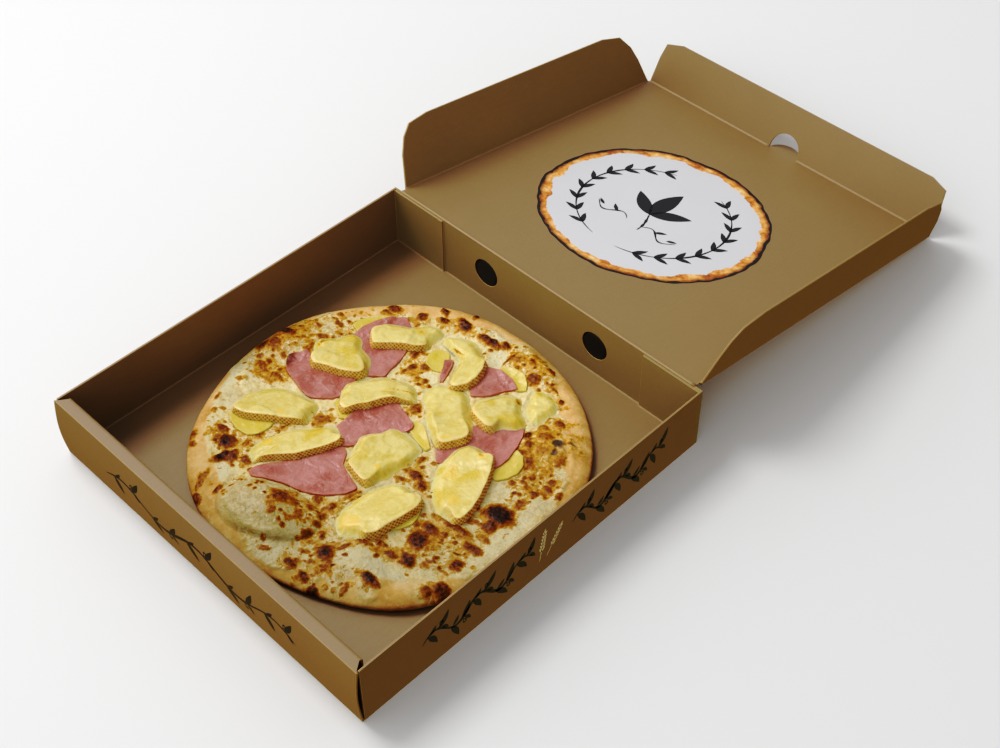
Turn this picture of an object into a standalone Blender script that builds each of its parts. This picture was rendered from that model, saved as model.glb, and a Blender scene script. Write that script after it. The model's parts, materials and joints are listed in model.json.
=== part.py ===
"""A takeaway pizza in its open folding box, at real size.

Metres, +Z up. The origin is the centre of the tray's underside, +X runs to the right along the
front wall, and +Y from the front wall to the lid's crease. The lid lies open behind the tray and
rests on its thumb tab; its three flaps stand on creases of their own.
"""

import math

import bmesh
import bpy
from mathutils import Matrix, Vector
from mathutils.bvhtree import BVHTree

# Board and tray
BOARD = 0.0015  # thickness of the board
GAP = 0.0003  # clearance between neighbouring solids
BOX_WIDTH = 0.330  # outside, along X
BOX_DEPTH = 0.337  # outside, along Y
BOX_HEIGHT = 0.057
VENT_RADIUS = 0.0127
VENT_HEIGHT = 0.0303
VENT_PLACES = (-0.0578, 0.0607)
GLUE_FLAP_ENDS = (-0.1070, 0.1095)  # where the side walls' flaps end on the back wall
GLUE_FLAP_TOP = 0.0560

# Rolled-over front wall
LEDGE_WIDTH = 0.0108
LEDGE_ROUNDING = 0.0030
FRONT_BULGE = 0.0026  # how far the outer panel bows out at half its height
LEDGE_END_CUT = 0.0043  # how much shorter the ledge is at its inner edge, at each end
INNER_PANEL_FOOT = 0.0018  # the inner panel stands this high, just clear of the floor

# Lid, in its own frame: X along the crease, Y away from it, Z out of the inner face
HINGE_Y = BOX_DEPTH / 2 + GAP
HINGE_Z = BOX_HEIGHT + GAP
LID_LEFT = -0.1593
LID_RIGHT = 0.1595
LID_LENGTH = 0.323
LID_START = 0.0006
LID_TOP = -0.0001  # the inner face lies this far under the hinge axis
LID_UNDERSIDE = LID_TOP - BOARD
TAB_PLACE = 0.0008
TAB_RADIUS = 0.0145
NOTCH_RADIUS = 0.0150
NOTCH_RISE = 0.0030  # straight part of the notch under its half round
TABLE_CLEARANCE = 0.0003

# Flaps: (distance from the lid's hinge, height), and how far each leans outwards at rest
LEFT_FLAP = (
    (0.0050, 0.0004), (0.0085, 0.0277), (0.0135, 0.0420), (0.0215, 0.0513), (0.0428, 0.0545),
    (0.2650, 0.0545), (0.2890, 0.0500), (0.3020, 0.0375), (0.3100, 0.0235), (0.3195, 0.0004),
)
RIGHT_FLAP = (
    (0.0050, 0.0004), (0.0137, 0.0248), (0.0200, 0.0378), (0.0300, 0.0468), (0.0533, 0.0508),
    (0.2737, 0.0522), (0.2990, 0.0473), (0.3090, 0.0360), (0.3165, 0.0201), (0.3195, 0.0004),
)
FRONT_FLAP = (
    (-0.1565, 0.0004), (-0.1555, 0.0250), (-0.1530, 0.0387), (-0.1360, 0.0440),
    (0.1390, 0.0445), (0.1545, 0.0393), (0.1565, 0.0250), (0.1570, 0.0004),
)
LEFT_LEAN = math.radians(22)
RIGHT_LEAN = math.radians(11)
FRONT_LEAN = math.radians(17)

# Pizza
PIZZA_CENTRE = Vector((0.005, 0.0022))
PIZZA_RADIUS = 0.1492
PIZZA_FOOT = BOARD + GAP
PIZZA_STEPS = 76
# How the outline strays from round: (waves around, depth, phase)
OUTLINE_WAVES = ((2, 0.0019, 0.90), (3, 0.0003, -1.87), (4, 0.0011, -1.86), (5, 0.0014, -1.36), (7, 0.0004, -0.56))
# Turned profile before it is made uneven, from the middle out and back: (share of radius, height)
PIZZA_PROFILE = (
    (0.00, 0.0076), (0.10, 0.0076), (0.20, 0.0076), (0.30, 0.0076), (0.40, 0.0076), (0.50, 0.0076),
    (0.60, 0.0076), (0.69, 0.0077), (0.76, 0.0078), (0.82, 0.0082), (0.865, 0.0092), (0.905, 0.0104),
    (0.94, 0.0108), (0.97, 0.0098), (0.99, 0.0076), (1.00, 0.0050), (0.99, 0.0021), (0.965, 0.0004),
    (0.90, 0.0), (0.00, 0.0),
)
RIM_START = 0.80
RIM_WAVES = ((1, 0.10, 0.3), (3, 0.10, 1.2), (4, 0.08, 2.9), (7, 0.07, 0.6), (11, 0.04, 2.2))
# Blisters and folds of the dough: (x, y, long radius, short radius, turn in degrees, height)
BLISTERS = (
    (-0.012, -0.107, 0.034, 0.021, -8, 0.0090),
    (-0.131, 0.014, 0.014, 0.012, 0, 0.0055),
    (-0.112, 0.028, 0.022, 0.009, 60, 0.0028),
    (0.032, 0.130, 0.022, 0.012, -10, 0.0050),
    (0.097, 0.084, 0.018, 0.014, 30, 0.0048),
    (0.130, 0.028, 0.010, 0.010, 0, 0.0040),
    (0.078, -0.090, 0.020, 0.011, -30, 0.0040),
    (-0.020, 0.127, 0.018, 0.008, 5, 0.0026),
    (-0.118, -0.034, 0.022, 0.011, 75, 0.0028),
    (0.118, 0.004, 0.012, 0.010, 0, 0.0028),
    (0.104, -0.050, 0.016, 0.012, 40, 0.0024),
)

# Toppings: (x, y, length, width, turn, taper, curl) in millimetres and degrees, in one plane.
# Taper widens the far end; curl is how far the long axis turns, bowed to its left.
MM = 0.001
POTATO_SLICES = (
    (-29, 84, 28, 18, -52, 0.0, 0),
    (-88, 75, 28, 18, 65, 0.0, 0),
    (29, 107, 36, 21, -8, 0.0, 0),
    (86.5, 43.5, 34, 26, -68, 0.0, 0),
    (63, -45, 38, 26, 78, 0.0, 0),
    (-83, -59.5, 34, 22, 20, 0.0, 0),
    (-41, -6, 22, 15, 40, 0.0, 0),
    (13, 25, 22, 13, -35, 0.0, 0),
)
HAM_SLICES = (
    (-70.5, 61, 68, 44, 120, 0.0, 0),
    (-74.5, 9.5, 78, 37, 9, -0.1, -12),
    (-11, 2, 60, 41, 98, 0.15, 0),
    (-14, -64, 82, 38, 47, 0.20, 15),
    (23, 91.5, 37, 40, -80, -0.25, 0),
    (57, 46, 72, 46, 112, -0.1, 0),
    (-18, 81.5, 23, 8, -55, 0.0, 0),
)
CHEESE_SLICES = (
    (-63.6, 83.4, 61, 24, 42, 0.05, -10),
    (-13.5, 92.5, 70, 20, -45, -0.08, 125),
    (-83, 35.5, 54, 36, 33, -0.15, -15),
    (-37, 27, 66, 29, 50, 0.05, 12),
    (-79.5, -38, 66, 34, 38, 0.0, -20),
    (-39.5, -52, 74, 31, 62, 0.05, 8),
    (50.5, -53, 68, 37, 79, 0.05, -14),
    (11, -16.5, 58, 46, 100, 0.0, 0),
    (76, 11, 74, 33, -65, 0.0, 10),
    (46, 78.5, 46, 35, -33, -0.12, 0),
    (22, 43, 62, 27, -36, -0.05, 10),
    (67, 104, 36, 20, -58, 0.0, 15),
)
POTATO_THICKNESS = 0.0034
HAM_THICKNESS = 0.0018
CHEESE_THICKNESS = 0.0058
SQUARENESS = 0.78  # under 1 the slices' outlines are rounded oblongs

COLOURS = {
    "board": (0.30, 0.19, 0.075),
    "board_inside": (0.34, 0.22, 0.095),
    "crust": (0.62, 0.36, 0.15),
    "cheese": (0.78, 0.65, 0.27),
    "ham": (0.50, 0.17, 0.15),
    "potato": (0.72, 0.58, 0.16),
}


def make_material(name, roughness):
    """A Principled material in one of the named colours."""
    material = bpy.data.materials.new(name)
    material.use_nodes = True
    shader = material.node_tree.nodes["Principled BSDF"]
    shader.inputs["Base Color"].default_value = (*COLOURS[name], 1.0)
    shader.inputs["Roughness"].default_value = roughness
    shader.inputs["Metallic"].default_value = 0.0
    return material


def make_empty(name, place, turn, parent=None):
    """An empty that carries a moving piece, on its crease."""
    empty = bpy.data.objects.new(name, None)
    empty.location = place
    empty.rotation_euler = turn
    empty.parent = parent
    PARTS.objects.link(empty)
    return empty


def make_object(name, mesh, material, parent=None):
    """A named object for a finished mesh."""
    thing = bpy.data.objects.new(name, mesh)
    mesh.materials.clear()
    mesh.materials.append(material)
    thing.parent = parent
    PARTS.objects.link(thing)
    return thing


def block(name, low, high):
    """A box between two corners, as a mesh."""
    low, high = Vector(low), Vector(high)
    shape = bmesh.new()
    bmesh.ops.create_cube(shape, size=1.0)
    bmesh.ops.scale(shape, vec=high - low, verts=shape.verts)
    bmesh.ops.translate(shape, vec=(low + high) / 2, verts=shape.verts)
    mesh = bpy.data.meshes.new(name)
    shape.to_mesh(mesh)
    shape.free()
    return mesh


def make_tool(name, mesh):
    """An object that only shapes others: it is never part of the model."""
    tool = bpy.data.objects.new(name, mesh)
    tool.hide_render = True
    tool.display_type = "WIRE"
    CUTTERS.objects.link(tool)
    return tool


def combine(thing, tool, operation):
    """Joins a tool to a piece, or cuts it out of it."""
    step = thing.modifiers.new(operation.lower() + "_" + tool.name, "BOOLEAN")
    step.operation = operation
    step.solver = "EXACT"
    step.object = tool


def mesh_from_curve(curve):
    """The closed mesh of a curve object, which is then removed."""
    PARTS.objects.link(curve)
    bpy.context.view_layer.update()
    evaluated = curve.evaluated_get(bpy.context.evaluated_depsgraph_get())
    mesh = bpy.data.meshes.new_from_object(evaluated)
    shape = bmesh.new()
    shape.from_mesh(mesh)
    bmesh.ops.remove_doubles(shape, verts=shape.verts, dist=0.000001)
    shape.to_mesh(mesh)
    shape.free()
    bpy.data.objects.remove(curve)
    return mesh


def flat_sheet(name, outline, standing):
    """A piece of board cut to an outline in X and Y, BOARD thick, its lower face at zero.

    standing is the matrix that puts it up on edge or moves it into place.
    """
    data = bpy.data.curves.new(name, "CURVE")
    data.dimensions = "2D"
    data.fill_mode = "BOTH"
    data.extrude = BOARD / 2
    spline = data.splines.new("POLY")
    spline.points.add(len(outline) - 1)
    for point, (x, y) in zip(spline.points, outline):
        point.co = (x, y, 0.0, 1.0)
    spline.use_cyclic_u = True
    mesh = mesh_from_curve(bpy.data.objects.new(name, data))
    mesh.transform(standing @ Matrix.Translation((0, 0, BOARD / 2)))
    return mesh


def make_tray():
    """Floor, side walls and back wall of one folded sheet, with two vents and two glued flaps."""
    half_width, half_depth = BOX_WIDTH / 2, BOX_DEPTH / 2
    front = -half_depth + BOARD + GAP
    tray = make_object("tray", block("tray", (-half_width, front, 0), (half_width, half_depth, BOARD)), BOARD_OUT)
    for side in (-1, 1):
        outer, inner = side * half_width, side * (half_width - BOARD)
        wall = block("wall", (min(outer, inner), front + GAP, 0), (max(outer, inner), half_depth, BOX_HEIGHT))
        combine(tray, make_tool("side_wall_tool_%d" % (side > 0), wall), "UNION")
    back = block("back", (-half_width, half_depth - BOARD, 0), (half_width, half_depth, BOX_HEIGHT))
    combine(tray, make_tool("back_wall_tool", back), "UNION")
    for n, end in enumerate(GLUE_FLAP_ENDS):
        edge = math.copysign(half_width - BOARD / 2, end)
        low = (min(edge, end), half_depth - 2 * BOARD, BOARD / 2)
        high = (max(edge, end), half_depth - BOARD / 2, GLUE_FLAP_TOP)
        combine(tray, make_tool("glue_flap_tool_%d" % n, block("flap", low, high)), "UNION")
    for n, place in enumerate(VENT_PLACES):
        shape = bmesh.new()
        bmesh.ops.create_cone(
            shape, cap_ends=True, segments=20, radius1=VENT_RADIUS, radius2=VENT_RADIUS, depth=6 * BOARD
        )
        spin = Matrix.Rotation(math.radians(90), 4, "X")
        bmesh.ops.transform(
            shape, matrix=Matrix.Translation((place, half_depth - BOARD / 2, VENT_HEIGHT)) @ spin, verts=shape.verts
        )
        mesh = bpy.data.meshes.new("vent")
        shape.to_mesh(mesh)
        shape.free()
        combine(tray, make_tool("vent_tool_%d" % n, mesh), "DIFFERENCE")


def front_wall_path():
    """The front wall's fold from the floor up, over the ledge and down: (y, z, half the width)."""
    outer_y = -BOX_DEPTH / 2
    full, short = BOX_WIDTH / 2, BOX_WIDTH / 2 - BOARD - GAP
    steps = 8
    path = []
    for n in range(steps + 1):
        rise = n / steps
        bow = FRONT_BULGE * math.sin(math.pi * rise)
        path.append((outer_y - bow, BOX_HEIGHT * rise, full))
    inner_y = outer_y + LEDGE_WIDTH
    path.append((outer_y + BOARD + GAP, BOX_HEIGHT, short))
    turns = 4
    for n in range(turns + 1):
        angle = math.radians(90) * n / turns
        path.append((
            inner_y - LEDGE_ROUNDING + LEDGE_ROUNDING * math.sin(angle),
            BOX_HEIGHT - LEDGE_ROUNDING + LEDGE_ROUNDING * math.cos(angle),
            short - LEDGE_END_CUT,
        ))
    path.append((inner_y, INNER_PANEL_FOOT, short - LEDGE_END_CUT))
    return path


def make_front_wall():
    """The double front wall: one strip of board, folded over a ledge and open at both ends."""
    path = front_wall_path()
    shape = bmesh.new()
    columns = [[shape.verts.new((side * half, y, z)) for y, z, half in path] for side in (-1, 1)]
    for n in range(len(path) - 1):
        shape.faces.new((columns[0][n], columns[1][n], columns[1][n + 1], columns[0][n + 1]))
    mesh = bpy.data.meshes.new("front_wall")
    shape.to_mesh(mesh)
    shape.free()
    wall = make_object("front_wall", mesh, BOARD_OUT)
    shell = wall.modifiers.new("board", "SOLIDIFY")
    shell.thickness = BOARD
    shell.offset = -1.0
    shell.use_even_offset = True


def lid_rest_angle():
    """How far the open lid slopes down from level until its thumb tab meets the table."""
    reach = LID_LENGTH + TAB_RADIUS
    tip = math.atan2(-LID_UNDERSIDE, reach)
    return math.asin((HINGE_Z - TABLE_CLEARANCE) / math.hypot(reach, LID_UNDERSIDE)) - tip


def make_lid(hinge):
    """The lid's panel, with the half-round thumb tab beyond its front crease."""
    front = LID_LENGTH - BOARD - GAP
    left, right = LID_LEFT + BOARD + GAP, LID_RIGHT - BOARD - GAP
    outline = [(left, LID_START), (right, LID_START), (right, front), (TAB_PLACE + TAB_RADIUS, front)]
    steps = 16
    for n in range(steps + 1):
        angle = math.pi * n / steps
        outline.append((
            TAB_PLACE + TAB_RADIUS * math.cos(angle),
            LID_LENGTH + TAB_RADIUS * math.sin(angle),
        ))
    outline += [(TAB_PLACE - TAB_RADIUS, front), (left, front)]
    mesh = flat_sheet("lid", outline, Matrix.Translation((0, 0, LID_UNDERSIDE)))
    make_object("lid", mesh, BOARD_IN, hinge)


def make_side_flap(name, outline, crease_x, side, lean, hinge):
    """A flap that stands on one of the lid's side creases; side is -1 at the left, 1 at the right."""
    crease = make_empty(name + "_crease", (crease_x, 0, LID_TOP), (0, side * lean, 0), hinge)
    # The sheet's own X runs away from the hinge and its Y up; its thickness goes outwards.
    upright = Matrix(((0, 0, side, 0), (1, 0, 0, 0), (0, 1, 0, 0), (0, 0, 0, 1)))
    mesh = flat_sheet(name, outline, upright)
    if side < 0:
        mesh.flip_normals()
    make_object(name, mesh, BOARD_OUT, crease)


def make_front_flap(hinge):
    """The flap on the lid's far crease, with the notch that its thumb tab was cut from."""
    crease = make_empty("flap_front_crease", (0, LID_LENGTH - BOARD, LID_TOP), (-FRONT_LEAN, 0, 0), hinge)
    steps = 14
    notch = [(TAB_PLACE - NOTCH_RADIUS, FRONT_FLAP[0][1])]
    for n in range(steps + 1):
        angle = math.pi * (1 - n / steps)
        notch.append((
            TAB_PLACE + NOTCH_RADIUS * math.cos(angle),
            NOTCH_RISE + NOTCH_RADIUS * math.sin(angle),
        ))
    notch.append((TAB_PLACE + NOTCH_RADIUS, FRONT_FLAP[-1][1]))
    outline = notch + list(reversed(FRONT_FLAP))
    upright = Matrix(((1, 0, 0, 0), (0, 0, 1, 0), (0, 1, 0, 0), (0, 0, 0, 1)))
    mesh = flat_sheet("flap_front", outline, upright)
    mesh.flip_normals()
    make_object("flap_front", mesh, BOARD_OUT, crease)


def waves(angle, series):
    """A sum of sines around the pizza."""
    return sum(depth * math.sin(count * angle + phase) for count, depth, phase in series)


def blister_height(x, y):
    """How far the blisters lift the dough at a point."""
    height = 0.0
    for place_x, place_y, long_radius, short_radius, turn, top in BLISTERS:
        c, s = math.cos(math.radians(turn)), math.sin(math.radians(turn))
        along = ((x - place_x) * c + (y - place_y) * s) / long_radius
        across = (-(x - place_x) * s + (y - place_y) * c) / short_radius
        height += top * math.exp(-((along**2 + across**2) ** 1.4))
    return height


def make_pizza():
    """The baked base: a turned profile, then made uneven in outline, rim and blisters."""
    profile = bpy.data.meshes.new("pizza_profile")
    points = [(share * PIZZA_RADIUS, 0.0, height) for share, height in PIZZA_PROFILE]
    profile.from_pydata(points, [(n, n + 1) for n in range(len(points) - 1)], [])
    turned = bpy.data.objects.new("pizza_profile", profile)
    PARTS.objects.link(turned)
    screw = turned.modifiers.new("turn", "SCREW")
    screw.steps = screw.render_steps = PIZZA_STEPS
    screw.use_merge_vertices = True
    screw.merge_threshold = 0.00001
    bpy.context.view_layer.update()
    mesh = bpy.data.meshes.new_from_object(turned.evaluated_get(bpy.context.evaluated_depsgraph_get()))
    bpy.data.objects.remove(turned)
    mesh.name = "pizza_base"
    for vertex in mesh.vertices:
        angle = math.atan2(vertex.co.y, vertex.co.x)
        share = math.hypot(vertex.co.x, vertex.co.y) / PIZZA_RADIUS
        flat = Vector((vertex.co.x, vertex.co.y)) * (1 + waves(angle, OUTLINE_WAVES) / PIZZA_RADIUS)
        flat += PIZZA_CENTRE
        top = vertex.co.z
        if top > 0.0001:
            rim = min(max((share - RIM_START) / (1 - RIM_START), 0.0), 1.0)
            uneven = 1 + rim * waves(angle, RIM_WAVES)
            edge = min(1.0, (1.0 - share) / 0.05)
            surface = share < 0.985 and top > 0.0020
            top = top * uneven + (blister_height(*flat) * edge if surface else 0.0)
        vertex.co = (flat.x, flat.y, PIZZA_FOOT + top)
    mesh.shade_smooth()
    return make_object("pizza_base", mesh, CRUST)


def slice_outline(angle, share, length, width, taper, curl):
    """A point of a slice in its own frame: share is 1 on its outline and 0 at its middle."""
    c, s = math.cos(angle), math.sin(angle)
    x = math.copysign(abs(c) ** SQUARENESS, c)
    y = math.copysign(abs(s) ** SQUARENESS, s)
    along = share * x * length / 2
    across = share * y * width / 2 * (1 + taper * x)
    if not curl:
        return along, across
    radius = length / math.radians(curl)
    middle = radius * (1 + math.cos(math.radians(curl) / 2)) / 2
    turn = along / radius
    return (radius + across) * math.sin(turn), (radius + across) * math.cos(turn) - middle


def make_slice(name, spec, thickness, segments, rings, below, material):
    """A topping: a sphere squared off and flattened, then laid over what is below it."""
    x, y, length, width, turn, taper, curl = spec
    shape = bmesh.new()
    bmesh.ops.create_uvsphere(shape, u_segments=segments, v_segments=rings, radius=1.0)
    c, s = math.cos(math.radians(turn)), math.sin(math.radians(turn))
    reach = 0.6 * length * MM / (rings - 1)
    for vertex in shape.verts:
        angle = math.atan2(vertex.co.y, vertex.co.x)
        # Rings spread evenly over the face, and the last one makes a steep side.
        share = min(1.0, math.acos(min(1.0, abs(vertex.co.z))) / (math.pi / 2))
        share = 1 - (1 - share) ** 1.35
        along, across = slice_outline(angle, share, length * MM, width * MM, taper, curl)
        place_x = x * MM + along * c - across * s
        place_y = y * MM + along * s + across * c
        side = 0.5 + 0.5 * math.copysign(abs(vertex.co.z) ** 0.45, vertex.co.z)
        floor = support_height(below, place_x, place_y, reach)
        vertex.co = (place_x, place_y, floor + GAP + thickness * side)
    mesh = bpy.data.meshes.new(name)
    shape.to_mesh(mesh)
    shape.free()
    mesh.shade_smooth()
    return make_object(name, mesh, material)


def support_height(below, x, y, reach):
    """The highest surface under a small disc, so that a coarse mesh stays clear of what it lies on."""
    best = 0.0
    directions = [(0.0, 0.0)] + [
        (share * reach * math.cos(turn), share * reach * math.sin(turn))
        for share in (0.55, 1.0)
        for turn in [math.radians(45 * n) for n in range(8)]
    ]
    for tree in below:
        for dx, dy in directions:
            hit = tree.ray_cast(Vector((x + dx, y + dy, 0.1)), Vector((0, 0, -1)))[0]
            if hit is not None:
                best = max(best, hit.z)
    return best


def tree_of(thing):
    """The searchable surface of a piece that others lie on."""
    shape = bmesh.new()
    shape.from_mesh(thing.data)
    tree = BVHTree.FromBMesh(shape)
    shape.free()
    return tree


def make_toppings(base):
    """Potato on the base, ham over potato, cheese over both."""
    below = [tree_of(base)]
    layers = (
        ("potato_slice_%d", POTATO_SLICES, POTATO_THICKNESS, 14, 6, POTATO),
        ("ham_slice_%d", HAM_SLICES, HAM_THICKNESS, 20, 8, HAM),
        ("cheese_slice_%02d", CHEESE_SLICES, CHEESE_THICKNESS, 18, 6, CHEESE),
    )
    for pattern, specs, thickness, segments, rings, material in layers:
        laid = [
            make_slice(pattern % (n + 1), spec, thickness, segments, rings, below, material)
            for n, spec in enumerate(specs)
        ]
        below += [tree_of(piece) for piece in laid]


for old in list(bpy.data.objects):
    bpy.data.objects.remove(old)
PARTS = bpy.data.collections.new("pizza_in_its_box")
CUTTERS = bpy.data.collections.new("shaping_tools")
for group in (PARTS, CUTTERS):
    bpy.context.scene.collection.children.link(group)

BOARD_OUT = make_material("board", 0.75)
BOARD_IN = make_material("board_inside", 0.75)
CRUST = make_material("crust", 0.7)
CHEESE = make_material("cheese", 0.4)
HAM = make_material("ham", 0.4)
POTATO = make_material("potato", 0.45)

make_tray()
make_front_wall()
lid_hinge = make_empty("lid_hinge", (0, HINGE_Y, HINGE_Z), (-lid_rest_angle(), 0, 0))
make_lid(lid_hinge)
make_side_flap("flap_left", LEFT_FLAP, LID_LEFT + BOARD, -1, LEFT_LEAN, lid_hinge)
make_side_flap("flap_right", RIGHT_FLAP, LID_RIGHT - BOARD, 1, RIGHT_LEAN, lid_hinge)
make_front_flap(lid_hinge)
make_toppings(make_pizza())
bpy.context.view_layer.update()
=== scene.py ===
"""Looks for an open takeaway pizza box and the pizza in it.

The board keeps the frame's own panels and gets its grain, cut edges, folded creases and print
here. The pizza's base is rebuilt as a fine relief on the frame's coarse one, and every slice of
potato, ham and cheese is laid over whatever lies below it. Fields of the relief are worked out
in millimetres on one square grid; meshes are in metres.
"""

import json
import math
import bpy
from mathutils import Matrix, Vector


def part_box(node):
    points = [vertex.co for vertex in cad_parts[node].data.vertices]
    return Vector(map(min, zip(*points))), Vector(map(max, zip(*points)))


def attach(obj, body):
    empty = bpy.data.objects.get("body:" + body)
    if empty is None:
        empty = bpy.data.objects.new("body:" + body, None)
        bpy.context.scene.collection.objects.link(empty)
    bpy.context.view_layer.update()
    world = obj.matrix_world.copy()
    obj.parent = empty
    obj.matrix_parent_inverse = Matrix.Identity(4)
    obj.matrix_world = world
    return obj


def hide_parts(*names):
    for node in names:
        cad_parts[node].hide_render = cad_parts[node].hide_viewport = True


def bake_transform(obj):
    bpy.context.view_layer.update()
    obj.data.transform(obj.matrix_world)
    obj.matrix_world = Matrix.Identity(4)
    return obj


bl_info = {
    "name": "Pizza in Its Box",
    "version": (1, 0, 0),
    "blender": (4, 5, 0),
    "location": "3D View > Sidebar > Pizza",
    "description": "Board, print, baked base, toppings and studio for a pizza in an open box",
    "category": "Add Mesh",
}

import bpy
import numpy as np
from mathutils import Matrix, Vector
from mathutils.bvhtree import BVHTree

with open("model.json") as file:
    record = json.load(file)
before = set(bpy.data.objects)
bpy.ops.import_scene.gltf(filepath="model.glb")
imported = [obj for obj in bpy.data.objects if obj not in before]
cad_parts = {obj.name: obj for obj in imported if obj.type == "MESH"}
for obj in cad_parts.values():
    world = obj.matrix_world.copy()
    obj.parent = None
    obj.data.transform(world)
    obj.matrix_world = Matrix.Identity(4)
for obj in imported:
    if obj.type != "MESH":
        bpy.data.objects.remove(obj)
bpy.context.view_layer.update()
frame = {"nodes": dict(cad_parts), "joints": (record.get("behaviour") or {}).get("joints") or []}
NODES = frame["nodes"]

MM = 0.001
TAU = 2 * math.pi


# ---------------------------------------------------------------- noise and grids

GRID_HALF = 160.0  # the grid reaches this far from the origin, in millimetres
GRID_STEP = 0.5
GRID_AXIS = np.arange(-GRID_HALF, GRID_HALF + GRID_STEP / 2, GRID_STEP)
GRID_X, GRID_Y = np.meshgrid(GRID_AXIS, GRID_AXIS)


def smoothstep(low, high, value):
    """0 below low, 1 above high, and a smooth slope between; low may be the larger."""
    t = np.clip((value - low) / (high - low), 0.0, 1.0)
    return t * t * (3 - 2 * t)


def noise(x, y, size, seed):
    """Smooth random heights from -1 to 1 with features about size millimetres wide."""
    table = np.random.default_rng(seed).uniform(-1, 1, (256, 256))
    turn = 0.7 + 1.3 * seed
    u = (x * math.cos(turn) - y * math.sin(turn)) / size + 512
    v = (x * math.sin(turn) + y * math.cos(turn)) / size + 512
    i, j = np.floor(u).astype(int), np.floor(v).astype(int)
    f, g = u - i, v - j
    f, g = f * f * (3 - 2 * f), g * g * (3 - 2 * g)
    i, j = i % 255, j % 255
    low = table[j, i] * (1 - f) + table[j, i + 1] * f
    high = table[j + 1, i] * (1 - f) + table[j + 1, i + 1] * f
    return low * (1 - g) + high * g


def layered(x, y, size, seed, layers=3):
    """Noise with finer layers on top, each half as wide and half as strong."""
    total = sum(noise(x, y, size / 2**n, seed + 17 * n) / 2**n for n in range(layers))
    return total / (2 - 0.5 ** (layers - 1))


def blur(grid, radius):
    """The grid softened over a radius in millimetres."""
    reach = max(1, round(2.5 * radius / GRID_STEP))
    taps = np.exp(-0.5 * (np.arange(-reach, reach + 1) * GRID_STEP / radius) ** 2)
    taps /= taps.sum()
    for axis in (0, 1):
        pad = [(0, 0), (0, 0)]
        pad[axis] = (reach, reach)
        wide = np.pad(grid, pad, mode="edge")
        count = grid.shape[axis]
        grid = sum(tap * np.take(wide, range(n, n + count), axis) for n, tap in enumerate(taps))
    return grid


def sample(grid, x, y):
    """The grid's value at points given in millimetres."""
    u = np.clip((x + GRID_HALF) / GRID_STEP, 0, len(GRID_AXIS) - 1.001)
    v = np.clip((y + GRID_HALF) / GRID_STEP, 0, len(GRID_AXIS) - 1.001)
    i, j = u.astype(int), v.astype(int)
    f, g = u - i, v - j
    low = grid[j, i] * (1 - f) + grid[j, i + 1] * f
    high = grid[j + 1, i] * (1 - f) + grid[j + 1, i + 1] * f
    return low * (1 - g) + high * g


def spot_distance(x, y, place_x, place_y, long_radius, short_radius, turn=0.0):
    """Distance from an oval spot's middle, 1 on its edge; turn is in degrees."""
    c, s = math.cos(math.radians(turn)), math.sin(math.radians(turn))
    along = ((x - place_x) * c + (y - place_y) * s) / long_radius
    across = (-(x - place_x) * s + (y - place_y) * c) / short_radius
    return np.sqrt(along**2 + across**2)


def raise_grid(grid, x, y, z):
    """Lifts the grid to a set of surface points, and closes the small gaps between them."""
    top = np.full_like(grid, -1e3)
    i = np.clip(np.rint((x + GRID_HALF) / GRID_STEP).astype(int), 1, len(GRID_AXIS) - 2)
    j = np.clip(np.rint((y + GRID_HALF) / GRID_STEP).astype(int), 1, len(GRID_AXIS) - 2)
    np.maximum.at(top, (j, i), z)
    for axis in (0, 1):
        top = np.maximum(top, np.maximum(np.roll(top, 1, axis), np.roll(top, -1, axis)))
    return np.maximum(grid, top), top > -1e2


# ---------------------------------------------------------------- meshes


def disc_layout(cells, under=()):
    """A square grid bent into a disc: each point's angle and share of the way to the rim, and faces.

    under holds the shares of further rings that close the disc below, back towards its middle.
    """
    axis = np.linspace(-1, 1, cells + 1)
    a, b = np.meshgrid(axis, axis)
    share = np.maximum(abs(a), abs(b))
    safe = np.where(share == 0, 1.0, share)
    steep = abs(b) > abs(a)
    turn = np.where(steep, np.sign(b) * (math.pi / 2) - (math.pi / 4) * (a / safe) * np.sign(b), 0)
    flat = (math.pi / 4) * (b / safe) * np.sign(a) + np.where(a < 0, math.pi, 0)
    angle = np.where(steep, turn, flat) % TAU
    row = cells + 1
    corner = (np.arange(cells)[:, None] * row + np.arange(cells)[None, :]).ravel()
    faces = np.column_stack((corner, corner + 1, corner + row + 1, corner + row)).tolist()
    edge = np.arange(cells)
    loop = np.concatenate((
        edge, cells + row * edge, row * row - 1 - edge, row * (cells - edge),
    ))
    angle, share = angle.ravel(), share.ravel()
    layer = np.zeros(len(share))
    last = loop
    for ring in under:
        ring_points = np.arange(len(share), len(share) + len(loop))
        share = np.append(share, np.full(len(loop), ring))
        angle = np.append(angle, angle[loop])
        layer = np.append(layer, np.ones(len(loop)))
        quads = np.column_stack((last, ring_points, np.roll(ring_points, -1), np.roll(last, -1)))
        faces += quads.tolist()
        last = ring_points
    faces.append(last[::-1].tolist())
    return angle, share, layer, faces


def mesh_object(name, points, faces, materials, smooth=True, **attributes):
    """An object of points in metres, with one value or vector a point for each attribute."""
    mesh = bpy.data.meshes.new(name)
    mesh.from_pydata(np.asarray(points, float).tolist(), [], faces)
    for key, values in attributes.items():
        values = np.asarray(values, np.float32)
        vector = values.ndim == 2
        layer = mesh.attributes.new(key, "FLOAT_VECTOR" if vector else "FLOAT", "POINT")
        layer.data.foreach_set("vector" if vector else "value", values.ravel())
    mesh.polygons.foreach_set("use_smooth", [smooth] * len(mesh.polygons))
    for material in materials:
        mesh.materials.append(material)
    mesh.update()
    thing = bpy.data.objects.new(name, mesh)
    bpy.context.scene.collection.objects.link(thing)
    return thing


# ---------------------------------------------------------------- materials


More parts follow.
